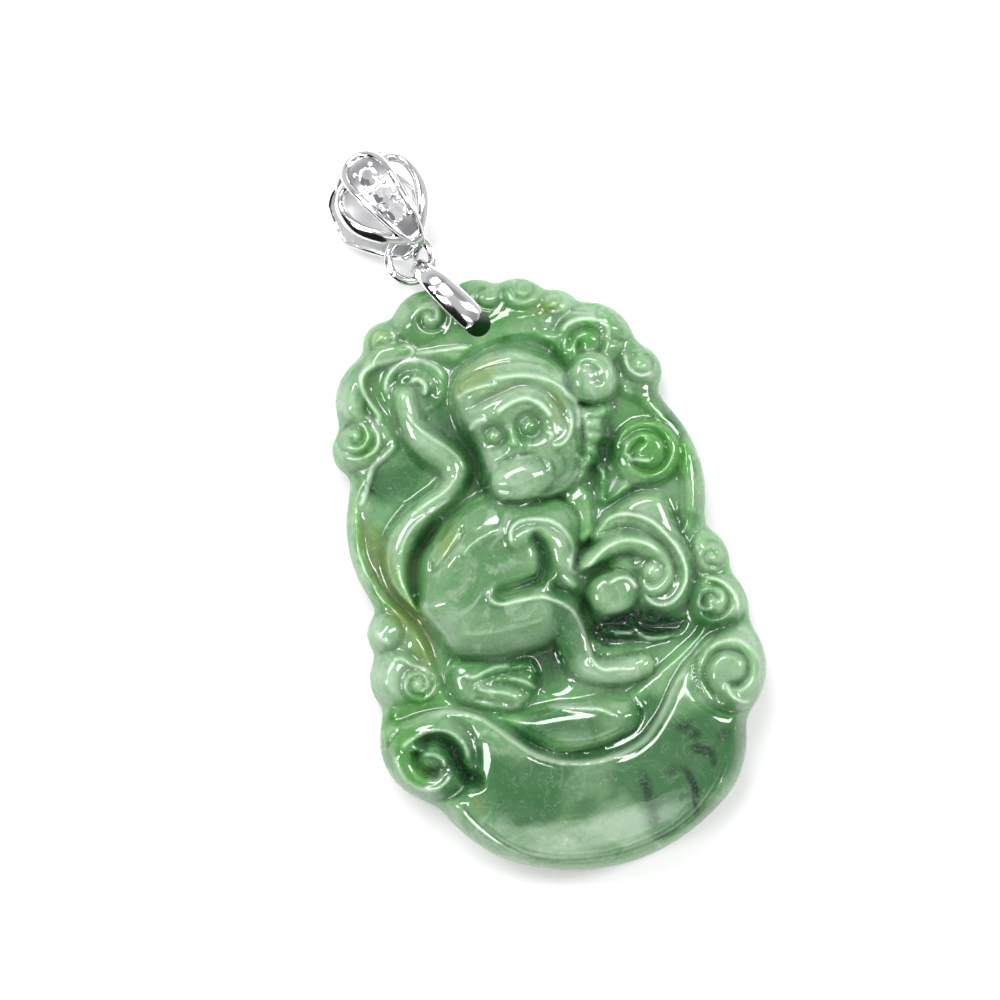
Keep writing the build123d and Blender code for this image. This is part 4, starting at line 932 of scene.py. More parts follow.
@dataclass(frozen=True)
class CloudyJade(Finish):
    """Polished jadeite: milky green with deep green clouds, streaks and fine veils, painted light in
    its crevices and painted highlights on its raised places and fine ridges.
    """

    pale: tuple = (0.144, 0.247, 0.131)
    green: tuple = (0.061, 0.169, 0.057)
    milky: tuple = (0.257, 0.355, 0.257)
    deep: tuple = (0.015, 0.089, 0.021)
    vivid: tuple = (0.043, 0.180, 0.025)
    dark: tuple = (0.004, 0.027, 0.009)
    warm: tuple = (0.130, 0.200, 0.052)
    # Painted light for the crevices: a saturated green that offsets their shade.
    painted_crevice_light: tuple = (0.089, 0.289, 0.085)
    # Colour of the painted highlight along the fine ridges.
    crest: tuple = (0.62, 0.70, 0.62)
    vein: tuple = (0.45, 0.57, 0.45)
    fleck: tuple = (0.52, 0.62, 0.50)
    painted_highlight_share: float = 0.42
    shine_roughness: float = 0.05
    bending: float = 1.66
    glow: float = 1.0
    glow_reach: float = 0.0034
    glow_radius: tuple = (0.6, 1.0, 0.5)

    def attribute(self, wires: Wiring, name: str) -> bpy.types.NodeSocket:
        """The value that the stone's mesh carries under a name."""
        return wires.put("Attribute", {"attribute_name": name}).outputs["Fac"]

    def stained(self, wires: Wiring, colour: bpy.types.NodeSocket,
                ragged: bpy.types.NodeSocket) -> bpy.types.NodeSocket:
        """Lay the mesh's clouds of colour on, each with its edge made ragged.

        Args:
            wires: The material's wiring.
            colour: The colour so far.
            ragged: The noise that tears the edges.

        Returns:
            The new colour.
        """
        for tint, hue, most in ((Tint.MILKY, self.milky, 0.75), (Tint.WARM, self.warm, 0.85),
                                (Tint.VIVID, self.vivid, 0.85), (Tint.DEEP, self.deep, 0.85),
                                (Tint.DARK, self.dark, 0.95)):
            cloud = self.attribute(wires, tint.value)
            torn = wires.math("ADD", cloud, wires.times(wires.math("SUBTRACT", ragged, 0.5), 1.7))
            share = wires.times(wires.span(torn, 0.08, 0.95), wires.span(cloud, 0.03, 0.45))
            colour = wires.blend(wires.times(share, most), colour, hue)
        return colour

    def painted_crevice_and_crest_light(self, wires: Wiring, colour: bpy.types.NodeSocket) -> bpy.types.NodeSocket:
        """Paint light into the crevices, a more saturated green that offsets their shade, and a milky
        painted sheen on the raised places.

        Args:
            wires: The material's wiring.
            colour: The colour so far.

        Returns:
            The new colour.
        """
        hollow = self.attribute(wires, "hollow")
        # Painted light: sunk places turn a saturated green that offsets their shade.
        low = wires.times(wires.math("MAXIMUM", hollow, 0.0), 0.60)
        colour = wires.blend(wires.math("MINIMUM", low, 0.5), colour, self.painted_crevice_light)
        # Painted highlight: raised places turn milky.
        painted_crest_sheen = wires.times(wires.math("MAXIMUM", wires.times(hollow, -1.0), 0.0), 0.35)
        return wires.blend(wires.math("MINIMUM", painted_crest_sheen, 0.4), colour, self.milky)

    def colour(self, wires: Wiring, place: bpy.types.NodeSocket) -> bpy.types.NodeSocket:
        """The stone's colour at a place, laid over in turn by mottling, painted crevice light and
        sheen, clouds, veins, a painted ridge highlight and specks.

        Args:
            wires: The material's wiring.
            place: The coordinates that the patterns follow.

        Returns:
            The finished colour.
        """
        cloud = wires.noise(place, 170.0, 5.0, 0.6, 0.8)
        mottle = wires.noise(place, 560.0, 5.0, 0.62, 0.5)
        grain = wires.noise(place, 2600.0, 3.0, 0.6)
        wisp = wires.noise(place, 260.0, 6.0, 0.62, 2.2)
        ragged = wires.math("ADD", wires.times(mottle, 0.35), wires.times(grain, 0.25))
        ragged = wires.math("ADD", ragged, wires.times(wisp, 0.40))
        colour = wires.blend(wires.span(cloud, 0.36, 0.60), self.green, self.pale)
        colour = wires.blend(wires.span(wisp, 0.50, 0.64, 0.0, 0.60), colour, self.milky)
        colour = wires.blend(wires.span(wisp, 0.34, 0.46, 0.55, 0.0), colour, self.green)
        colour = wires.blend(wires.span(mottle, 0.52, 0.70, 0.0, 0.45), colour, self.green)
        colour = self.stained(wires, self.painted_crevice_and_crest_light(wires, colour), ragged)
        middle = wires.math("SUBTRACT", wires.noise(place, 380.0, 4.0, 0.55, 1.6), 0.5)
        thread = wires.times(wires.span(wires.math("ABSOLUTE", middle), 0.0, 0.022, 1.0, 0.0), mottle)
        # Painted highlight along the fine ridges.
        crest = wires.math("POWER", self.attribute(wires, "crest"), 1.6)
        for share, most, hue in ((thread, 0.16, self.vein), (crest, self.painted_highlight_share, self.crest),
                                 (wires.span(grain, 0.32, 0.42, 1.0, 0.0), 0.18, self.deep),
                                 (wires.span(grain, 0.62, 0.72), 0.14, self.fleck)):
            colour = wires.blend(wires.times(share, most), colour, hue)
        return colour

    def material(self) -> bpy.types.Material:
        """Build the finish, with less shine on the steep sides than on top.

        Returns:
            The material.
        """
        material, wires, shader, place = self.start()
        haze, normal = PolishMarks().lay(wires, place, 420.0, 0.12, 0.0003)
        wires.fill(shader, Base_Color=self.colour(wires, place), Normal=normal, IOR=self.bending,
                   Roughness=wires.math("ADD", wires.times(haze, 0.04), self.shine_roughness),
                   Specular_IOR_Level=wires.span(wires.upward(), 0.20, 0.55, 0.12, 0.5),
                   Subsurface_Weight=self.glow, Subsurface_Radius=self.glow_radius,
                   Subsurface_Scale=self.glow_reach)
        return material


@dataclass(frozen=True)
class WhiteMetal(Finish):
    """Mirror polished white metal with the faintest unevenness, and a painted dark reflection where it
    stands upright.
    """

    tone: tuple = (0.82, 0.82, 0.83)
    haze_tone: tuple = (0.70, 0.71, 0.73)
    # Colour of the painted dark reflection on upright faces.
    painted_dark_reflection_tone: tuple = (0.10, 0.10, 0.11)
    roughness: float = 0.11

    def material(self) -> bpy.types.Material:
        """Build the finish.

        Returns:
            The material.
        """
        material, wires, shader, place = self.start()
        haze, normal = PolishMarks().lay(wires, place, 900.0, 0.05, 0.00006)
        tone = wires.blend(wires.times(haze, 0.25), self.tone, self.haze_tone)
        # Painted dark reflection: darker where the surface stands upright.
        side = wires.span(wires.math("ABSOLUTE", wires.upward()), 0.06, 0.42, 1.0, 0.0)
        colour = wires.blend(side, tone, self.painted_dark_reflection_tone)
        wires.fill(shader, Base_Color=colour, Normal=normal, Metallic=1.0,
                   Roughness=wires.math("ADD", wires.times(haze, 0.05), self.roughness))
        return material


@dataclass(frozen=True)
class SatinMetal(Finish):
    """The same white metal left satin, as on the inner faces."""

    tone: tuple = (0.76, 0.76, 0.77)
    roughness: float = 0.38
    roughness_span: float = 0.08
    cloud_share: float = 0.93

    def material(self) -> bpy.types.Material:
        """Build the finish.

        Returns:
            The material.
        """
        material, wires, shader, place = self.start()
        cloud = wires.noise(place, 700.0, 4.0)
        cloudy = tuple(value * self.cloud_share for value in self.tone)
        dulled = wires.span(cloud, 0.3, 0.7, self.roughness, self.roughness + self.roughness_span)
        wires.fill(shader, Base_Color=wires.blend(wires.span(cloud, 0.3, 0.7), self.tone, cloudy),
                   Metallic=1.0, Roughness=dulled)
        return material


@dataclass(frozen=True)
class ClearStone(Finish):
    """Colourless faceted stone."""

    bending: float = 2.4
    tone: tuple = (0.90, 0.90, 0.91)
    shadow_tone: tuple = (0.70, 0.71, 0.74)

    def material(self) -> bpy.types.Material:
        """Build the finish.

        Returns:
            The material.
        """
        material, wires, shader, place = self.start()
        inside = wires.span(wires.noise(place, 1800.0, 2.0), 0.3, 0.8)
        wires.fill(shader, Base_Color=wires.blend(inside, self.tone, self.shadow_tone), Roughness=0.015,
                   IOR=self.bending, Transmission_Weight=0.3, Metallic=0.75)
        return material


@dataclass(frozen=True)
class PaleTable(Finish):
    """Matt, nearly white table top with a painted glow from within, and a painted green-tinted shade
    without the glow where the stone covers it.
    """

    tone: tuple = (0.64, 0.64, 0.64)
    cloud_share: float = 0.99
    # Painted shade under the stone, tinted green.
    painted_green_shade: tuple = (0.12, 0.40, 0.13)
    glow: float = 0.2
    glow_tone: tuple = (1.0, 1.0, 1.0, 1.0)
    covered_middle: tuple = (0.0, -0.0044)
    covered_half: tuple = (0.0104, 0.0196)

    def material(self) -> bpy.types.Material:
        """Build the finish.

        Returns:
            The material.
        """
        material, wires, shader, place = self.start()
        cloud = wires.span(wires.noise(place, 90.0, 4.0), 0.3, 0.7)
        tone = wires.blend(cloud, self.tone, tuple(value * self.cloud_share for value in self.tone))
        shares = wires.put("Mapping", {"vector_type": "TEXTURE"}, Vector=place,
                           Location=(*self.covered_middle, 0), Scale=(*self.covered_half, 1))
        reach = wires.math("LENGTH", shares.outputs["Vector"], kind="VectorMath")
        outside = wires.span(reach, 0.90, 0.99)
        # Painted glow outside the stone; painted green shade under it, which shows through the drilled
        # hole.
        wires.fill(shader, Base_Color=wires.blend(outside, self.painted_green_shade, tone), Roughness=0.75,
                   Specular_IOR_Level=0.2, Emission_Color=self.glow_tone,
                   Emission_Strength=wires.times(outside, self.glow))
        return material


def deselect() -> None:
    """Leave edit mode and select nothing."""
    if bpy.context.mode != "OBJECT":
        bpy.ops.object.mode_set(mode="OBJECT")
    bpy.ops.object.select_all(action="DESELECT")


def only(piece: bpy.types.Object) -> None:
    """Select one piece and make it the active one."""
    deselect()
    piece.select_set(True)
    bpy.context.view_layer.objects.active = piece


def settle(piece: bpy.types.Object, name: str, material: bpy.types.Material) -> bpy.types.Object:
    """Name and dress a piece, with its place in its mesh.

    Args:
        piece: The finished object.
        name: Its new name.
        material: Its only finish.

    Returns:
        The same object.
    """
    only(piece)
    bpy.ops.object.transform_apply(location=True, rotation=True, scale=True)
    piece.name = piece.data.name = name
    piece.data.materials.clear()
    piece.data.materials.append(material)
    return piece


def sheet(across: int, along: int, spots: np.ndarray) -> bpy.types.Object:
    """A grid whose crossings are laid on given places.

    Args:
        across: Cells in the first direction.
        along: Cells in the second direction.
        spots: Places in metres, in rows along the second direction.

    Returns:
        The new mesh object.
    """
    deselect()
    bpy.ops.mesh.primitive_grid_add(x_subdivisions=across, y_subdivisions=along, size=1)
    piece = bpy.context.active_object
    piece.data.vertices.foreach_set("co", np.asarray(spots, np.float32).reshape(-1))
    piece.data.update()
    return piece


def seal(piece: bpy.types.Object, sew: float = 2e-6) -> bpy.types.Object:
    """Sew a piece's seams, close its ends and turn its faces outwards.

    Args:
        piece: The object.
        sew: Doubles nearer than this become one, in metres.

    Returns:
        The same object.
    """
    only(piece)
    bpy.ops.object.mode_set(mode="EDIT")
    bpy.ops.mesh.select_all(action="SELECT")
    bpy.ops.mesh.remove_doubles(threshold=sew)
    bpy.ops.mesh.select_all(action="DESELECT")
    bpy.ops.mesh.select_mode(type="EDGE")
    bpy.ops.mesh.select_non_manifold(extend=False, use_wire=False, use_multi_face=False,
                                     use_non_contiguous=False, use_verts=False)
    bpy.ops.mesh.fill_holes(sides=0)
    bpy.ops.mesh.select_all(action="SELECT")
    bpy.ops.mesh.normals_make_consistent(inside=False)
    bpy.ops.mesh.select_all(action="DESELECT")
    bpy.ops.mesh.select_mode(type="VERT")
    bpy.ops.object.mode_set(mode="OBJECT")
    return piece


def smooth(piece: bpy.types.Object, angle: float = 180.0) -> bpy.types.Object:
    """Shade a piece smooth, with edges sharper than the angle left crisp.

    Args:
        piece: The object.
        angle: The sharpest smooth edge, in degrees.

    Returns:
        The same object.
    """
    only(piece)
    if angle >= 180:
        bpy.ops.object.shade_smooth()
    else:
        bpy.ops.object.shade_smooth_by_angle(angle=math.radians(angle))
    return piece


def cut_away(piece: bpy.types.Object, tool: bpy.types.Object) -> bpy.types.Object:
    """Take one object's room out of a piece and delete that object.

    Args:
        piece: The object that is cut.
        tool: The object whose room is taken out.

    Returns:
        The piece.
    """
    only(piece)
    modifier = piece.modifiers.new("cut", "BOOLEAN")
    modifier.operation = "DIFFERENCE"
    modifier.solver = "EXACT"
    modifier.object = tool
    bpy.ops.object.modifier_apply(modifier=modifier.name)
    bpy.data.objects.remove(tool)
    return piece


def joined(pieces: list) -> bpy.types.Object:
    """Several objects as one.

    Args:
        pieces: The objects.

    Returns:
        The first of them, which now holds all.
    """
    deselect()
    for piece in pieces:
        piece.select_set(True)
    bpy.context.view_layer.objects.active = pieces[0]
    bpy.ops.object.join()
    return pieces[0]


@dataclass
class CarvedStone:
    """The carved jade: its relief in front, a rounded girdle, a stepped rear and a hole."""

    finish: CloudyJade
    cells_across: int = 228
    cells_along: int = 348
    crowding: float = 1.12
    half_size: tuple = (141.0, 218.0)
    thickness: float = 7.5
    hole: tuple = (18.0, 175.0)
    hole_width: float = 1.85
    relaxing: float = 0.35
    relaxing_rounds: int = 2
    raster: float = 2.0
    raster_margin: float = 12.0
    fine_blur: float = 1.5
    broad_blur: float = 7.0
    full_hollow: float = 9.0
    ridge_width: float = 3.0
    ridge_rise: float = 5.0
    stain_softness: float = 0.7
    smooth_angle: float = 50.0
    # Each ring round the rear: its share of the outline, its height, and the steps on to the next
    rear: tuple = ((1.0, 29, 1), (0.9985, 25, 2), (0.993, 20.5, 2), (0.98, 17.5, 2), (0.955, 15.5, 2),
                   (0.90, 14, 2), (0.83, 12.8, 2), (0.79, 11.5, 1), (0.66, 1.2, 1), (0.64, 0.3, 1),
                   (0.615, 0, 1))

    def __post_init__(self) -> None:
        """Find the stone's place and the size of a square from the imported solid."""
        self.carving = Carving()
        self.ring = self.carving.outline()[:-1]
        low, high = (np.array(corner[:2]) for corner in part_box("jade_carving"))
        self.square = (high - low) / (self.ring.max(0) - self.ring.min(0))
        self.origin = low - self.ring.min(0) * self.square

    def on_table(self, x: float, y: float) -> np.ndarray:
        """Metres for a place in squares."""
        return self.origin + np.array([x, y]) * self.square

    def net(self) -> np.ndarray:
        """The net's crossings in squares, a square sheet pressed onto the outline.

        Returns:
            Places in squares, row by row.
        """
        u = np.linspace(-1, 1, self.cells_across + 1)
        v = np.linspace(-1, 1, self.cells_along + 1)
        u, v = (part.reshape(-1) for part in np.meshgrid(u, v))
        wide = np.abs(u) > np.abs(v)
        reach = np.maximum(np.abs(u), np.abs(v))
        safe = np.where(reach > 0, reach, 1)
        ratio = np.where(wide, v, u) / safe
        side = np.where(wide, np.where(u > 0, 0, np.pi), np.where(v > 0, np.pi / 2, -np.pi / 2))
        turn = np.where(wide, np.sign(u), -np.sign(v)) * ratio * np.pi / 4
        angle = side + turn
        stretch = np.column_stack([np.cos(angle), np.sin(angle)]) * np.array(self.half_size)
        bearing = np.arctan2(stretch[:, 1], stretch[:, 0])
        own = np.arctan2(self.ring[:, 1], self.ring[:, 0])
        order = np.argsort(own)
        radius = np.interp(bearing, own[order], np.hypot(*self.ring.T)[order], period=2 * np.pi)
        radius *= 1 - (1 - reach) ** self.crowding
        return np.column_stack([np.cos(bearing) * radius, np.sin(bearing) * radius])

    def relief(self, points: np.ndarray) -> np.ndarray:
        """Heights over the net in per cent, relaxed a little as a polisher's wheel does.

        Args:
            points: The net's crossings.

        Returns:
            A height for each crossing.
        """
        height = self.carving.heights(points).reshape(self.cells_along + 1, self.cells_across + 1)
        soft = height.copy()
        for _ in range(self.relaxing_rounds):
            soft[1:-1, 1:-1] = (soft[:-2, 1:-1] + soft[2:, 1:-1] + soft[1:-1, :-2] + soft[1:-1, 2:]
                                + 2 * soft[1:-1, 1:-1]) / 6
        height += (soft - height) * self.relaxing
        height[[0, -1]] = height[:, [0, -1]] = self.carving.girdle_height
        return height.reshape(-1)

    def front(self) -> bpy.types.Object:
        """The carved front as an open sheet."""
        points = self.net()
        heights = self.relief(points)
        spots = np.column_stack([self.origin + points * self.square, self.rise(heights)])
        return sheet(self.cells_across, self.cells_along, spots)

    def rise(self, height: float | np.ndarray) -> float | np.ndarray:
        """Metres for heights in per cent of the thickness."""
        return height / 100 * (self.thickness * MM)

    def close_rear(self, piece: bpy.types.Object) -> bpy.types.Object:
        """Extrude the front's edge round the rear and close it with a flat field.

        Args:
            piece: The open front.

        Returns:
            The closed stone.
        """
        only(piece)
        bpy.ops.object.mode_set(mode="EDIT")
        bpy.ops.mesh.select_all(action="DESELECT")
        bpy.ops.mesh.select_mode(type="EDGE")
        bpy.ops.mesh.select_non_manifold(extend=False)
        middle = Vector((*self.origin, 0))
        rings = []
        for (share, height, steps), (next_share, next_height, _) in zip(self.rear, self.rear[1:]):
            for step in range(1, steps + 1):
                part = step / steps
                rings.append((share + (next_share - share) * part,
                              height + (next_height - height) * part))
        before, level = 1.0, self.carving.girdle_height
        for share, height in rings:
            bpy.ops.mesh.extrude_region_move()
            bpy.ops.transform.resize(value=(share / before, share / before, 1), center_override=middle)
            bpy.ops.transform.translate(value=(0, 0, self.rise(height - level)))
            before, level = share, height
        bpy.ops.mesh.edge_face_add()
        bpy.ops.mesh.select_all(action="SELECT")
        bpy.ops.mesh.normals_make_consistent(inside=False)
        bpy.ops.mesh.select_all(action="DESELECT")
        bpy.ops.mesh.select_mode(type="VERT")
        bpy.ops.object.mode_set(mode="OBJECT")
        return piece

    def drill(self, piece: bpy.types.Object) -> bpy.types.Object:
        """Drill the hole that the loop's pin goes through.

        Args:
            piece: The closed stone.

        Returns:
            The drilled stone.
        """
        deselect()
        through, middle_height = 20 * MM, 4 * MM
        bpy.ops.mesh.primitive_cylinder_add(vertices=64, radius=self.hole_width / 2 * MM, depth=through,
                                            location=(*self.on_table(*self.hole), middle_height))
        return cut_away(piece, bpy.context.active_object)

    def painted_ridge_highlights(self, points: np.ndarray) -> np.ndarray:
        """How much each point lies on a fine ridge, from 0 to 1, where the finish paints a highlight.

        Args:
            points: Places in squares.

        Returns:
            A share for each point.
        """
        carving, share = Carving(), np.zeros(len(points))
        for form in CARVING.values():
            if isinstance(form, Stroke) and form.rise > 0 and form.width < self.ridge_width:
                low, high = carving.reach_of(form)
                near = np.all((points > low) & (points < high), axis=1)
                ridge = carving.stroke(form, points[near], np.zeros(near.sum())) / self.ridge_rise
                share[near] = np.maximum(share[near], ridge)
        return np.minimum(share, 1)

    def hollows(self, points: np.ndarray) -> np.ndarray:
        """How far each place lies below its surroundings, from -1 on a crest to 1 in a crevice.

        Args:
            points: Places in squares.

        Returns:
            A value for each point.
        """
        low = self.ring.min(0) - self.raster_margin
        count = np.ceil((self.ring.max(0) + self.raster_margin - low) / self.raster).astype(int) + 1
        x, y = np.meshgrid(*(start + self.raster * np.arange(many) for start, many in zip(low, count)))
        height = self.carving.heights(np.column_stack([x.reshape(-1), y.reshape(-1)])).reshape(x.shape)
        near, wide = self.blurred(height, self.fine_blur), self.blurred(height, self.broad_blur)
        hollow = np.clip((wide - near) / self.full_hollow, -1, 1)
        column = np.clip((points[:, 0] - low[0]) / self.raster, 0, count[0] - 1.001)
        row = np.clip((points[:, 1] - low[1]) / self.raster, 0, count[1] - 1.001)
        i, j = column.astype(int), row.astype(int)
        s, t = column - i, row - j
        lower = hollow[j, i] * (1 - s) + hollow[j, i + 1] * s
        upper = hollow[j + 1, i] * (1 - s) + hollow[j + 1, i + 1] * s
        return lower * (1 - t) + upper * t

    def blurred(self, field_of: np.ndarray, width: float) -> np.ndarray:
        """A field softened over so many cells each way.

        Args:
            field_of: Heights in rows.
            width: How many cells.

        Returns:
            The softened heights.
        """
        reach = int(width * 3)
        weights = np.exp(-0.5 * (np.arange(-reach, reach + 1) / width) ** 2)
        weights /= weights.sum()
        padded = np.pad(field_of, reach, mode="edge")
        rows = sum(weight * padded[:, k : k + field_of.shape[1]] for k, weight in enumerate(weights))
        return sum(weight * rows[k : k + field_of.shape[0]] for k, weight in enumerate(weights))

    def colour(self, piece: bpy.types.Object) -> None:
        """Give each corner of the mesh its share of each cloud of colour, and how sunk it lies and how
        far it lies on a fine ridge, from which the finish paints light into the crevices and highlights
        on the ridges.

        Args:
            piece: The finished stone.
        """
        spots = np.zeros(len(piece.data.vertices) * 3)
        piece.data.vertices.foreach_get("co", spots)
        points = (spots.reshape(-1, 3)[:, :2] - self.origin) / self.square
        fields = {tint.value: np.zeros(len(points)) for tint in Tint}
        for stain in STAINS:
            turn = math.radians(stain.turn)
            x, y = points[:, 0] - stain.x, points[:, 1] - stain.y
            across = (x * math.cos(turn) + y * math.sin(turn)) / stain.half_width
            along = (y * math.cos(turn) - x * math.sin(turn)) / stain.half_height
            cloud = np.exp(-self.stain_softness * (across**2 + along**2))
            fields[stain.tint.value] += stain.strength * cloud
        # How sunk each place lies, from which the finish paints light into the crevices and a sheen on
        # the raised places.
        fields["hollow"] = self.hollows(points)
        # Fine ridges, which the finish paints with a highlight.
        fields["crest"] = self.painted_ridge_highlights(points)
        for name, values in fields.items():
            layer = piece.data.attributes.new(name, "FLOAT", "POINT")
            layer.data.foreach_set("value", np.ascontiguousarray(values, np.float32))

    def build(self) -> bpy.types.Object:
        """Model, colour and dress the stone.

        Returns:
            The finished piece.
        """
        piece = self.drill(self.close_rear(self.front()))
        self.colour(piece)
        smooth(piece, self.smooth_angle)
        settle(piece, "carved_stone", self.finish.material())
        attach(piece, "root")
        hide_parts("jade_carving")
        return piece


@dataclass
class LeafLoop:
    """Hairpin of polished metal over the stone's edge, broad in front, with a pin through the stone."""

    finish: bpy.types.Material
    stone: CarvedStone
    lean: float = 28.0
    bottom: float = 0.05
    top: float = 5.225
    reach: float = 6.328
    pin_place: float = 0.55
    pin_width: float = 0.5
    wall: float = 0.55
    # Half widths of the band at distances from the pin's hole
    widths: tuple = ((0.30, 0.62), (0.33, 0.78), (0.40, 0.88), (0.52, 0.94), (0.9, 0.98), (1.6, 1.02),
                     (2.6, 1.02), (3.8, 0.96), (5.0, 0.80), (5.8, 0.65), (6.33, 0.60))
    slim_width: float = 0.55
    crown: float = 0.28
    bow: float = 0.25
    thinning: float = 0.5
    thick_place: float = 0.9
    side_fullness: float = 0.8
    outer_fullness: float = 0.9
    inner_fullness: float = 0.5
    smooth_angle: float = 50.0
    stations: int = 200
    sides: int = 72

    def frames(self) -> tuple[np.ndarray, np.ndarray, np.ndarray]:
        """Where the loop's middle line runs.

        Returns:
            Places, outward directions and half widths, in millimetres in the loop's own frame.
        """
        radius = (self.top - self.bottom - self.wall) / 2
        straight = self.reach - radius - self.wall / 2
        foot = self.widths[0][0]
        lengths = [straight - foot, math.pi * radius, straight - foot]
        steps = np.linspace(0, sum(lengths), self.stations)
        places, outward = [], []
        for step in steps:
            if step < lengths[0]:
                arch = self.bow * (1 - (2 * step / lengths[0] - 1) ** 2)
                places.append((foot + step, radius + arch))
                outward.append((0.0, 1.0))
            elif step < lengths[0] + lengths[1]:
                angle = math.pi / 2 - (step - lengths[0]) / radius
                places.append((straight + radius * math.cos(angle), radius * math.sin(angle)))
                outward.append((math.cos(angle), math.sin(angle)))
            else:
                places.append((straight - (step - lengths[0] - lengths[1]), -radius))
                outward.append((0.0, -1.0))
        places, outward = np.array(places), np.array(outward)
        half = np.interp(places[:, 0], *np.array(self.widths).T)
        kernel = np.array([1, 2, 3, 2, 1]) / 9
        half[4:-4] = np.convolve(half, kernel, mode="same")[4:-4]
        return places, outward, half

    def band(self) -> bpy.types.Object:
        """The bent band with a crowned outer face.

        Returns:
            The band.
        """
        places, outward, half = self.frames()
        angle = np.linspace(0, 2 * np.pi, self.sides + 1)
        sine, cosine = np.sin(angle), np.cos(angle)
        fullness = np.where(sine > 0, self.outer_fullness, self.inner_fullness)
        place = (Matrix.Translation((*self.stone.on_table(*self.stone.hole), self.middle_height()))
                 @ Matrix.Rotation(math.radians(self.lean), 4, "Z"))
        spots = []
        for (y, z), (oy, oz), width in zip(places, outward, half):
            side = np.sign(cosine) * np.abs(cosine) ** self.side_fullness * width
            thick = self.wall / 2 * min(1, (width / self.slim_width) ** 0.5)
            if z > 0:
                thick *= 1 - self.thinning * abs(2 * y / self.reach - self.thick_place) ** 2
            rise = np.copysign(np.abs(sine) ** fullness * thick, sine) - self.crown * side**2
            spots.append(np.column_stack([side, y + oy * rise, z + oz * rise]))
        spots = np.array([place @ Vector(spot) for spot in np.vstack(spots) * MM])
        return seal(sheet(self.sides, self.stations - 1, spots))

    def pin(self) -> bpy.types.Object:
        """The round pin between the band's two ends.

        Returns:
            The pin.
        """
        deselect()
        x, y = self.stone.on_table(*self.stone.hole)
        turn, away = math.radians(self.lean), self.pin_place * MM
        place = (x - away * math.sin(turn), y + away * math.cos(turn), self.middle_height())
        length = (self.top - self.bottom - self.wall) * MM
        bpy.ops.mesh.primitive_cylinder_add(vertices=48, radius=self.pin_width / 2 * MM, depth=length,
                                            location=place)
        return bpy.context.active_object

    def middle_height(self) -> float:
        """Height of the loop's middle over the table, in metres."""
        return (self.top + self.bottom) / 2 * MM

    def build(self) -> bpy.types.Object:
        """Model and dress the loop.

        Returns:
            The finished piece.
        """
        piece = joined([self.band(), self.pin()])
        smooth(piece, self.smooth_angle)
        settle(piece, "hanging_loop", self.finish)
        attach(piece, "root")
        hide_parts("leaf_loop")
        return piece


@dataclass
class JumpRing:
    """Round wire ring, closed with a fine soldered joint."""

    finish: bpy.types.Material
    joint_angle: float = 205.0
    joint_width: float = 4.0
    joint_depth: float = 0.10

    def build(self) -> bpy.types.Object:
        """Model and dress the ring.

        Returns:
            The finished piece.
        """
        low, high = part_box("jump_ring")
        wire = (high.z - low.z) / 2
        reach = (high.x - low.x) / 2 - wire
        middle = (low + high) / 2
        deselect()
        bpy.ops.mesh.primitive_torus_add(major_radius=reach, minor_radius=wire, major_segments=180,
                                         minor_segments=32, location=middle)
        piece = bpy.context.active_object
        spots = np.zeros(len(piece.data.vertices) * 3)
        piece.data.vertices.foreach_get("co", spots)
        spots = spots.reshape(-1, 3)
        bearing = np.degrees(np.arctan2(spots[:, 1], spots[:, 0])) % 360
        turn = np.radians(bearing)
        core = np.column_stack([np.cos(turn) * reach, np.sin(turn) * reach, np.zeros(len(spots))])
        aside = (bearing - self.joint_angle) / (self.joint_width / 2)
        pinch = self.joint_depth * np.exp(-(aside**2))
        spots = core + (spots - core) * (1 - pinch[:, None])
        piece.data.vertices.foreach_set("co", spots.reshape(-1))
        smooth(piece)
        settle(piece, "ring_of_wire", self.finish)
        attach(piece, "root")
        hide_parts("jump_ring")
        return piece


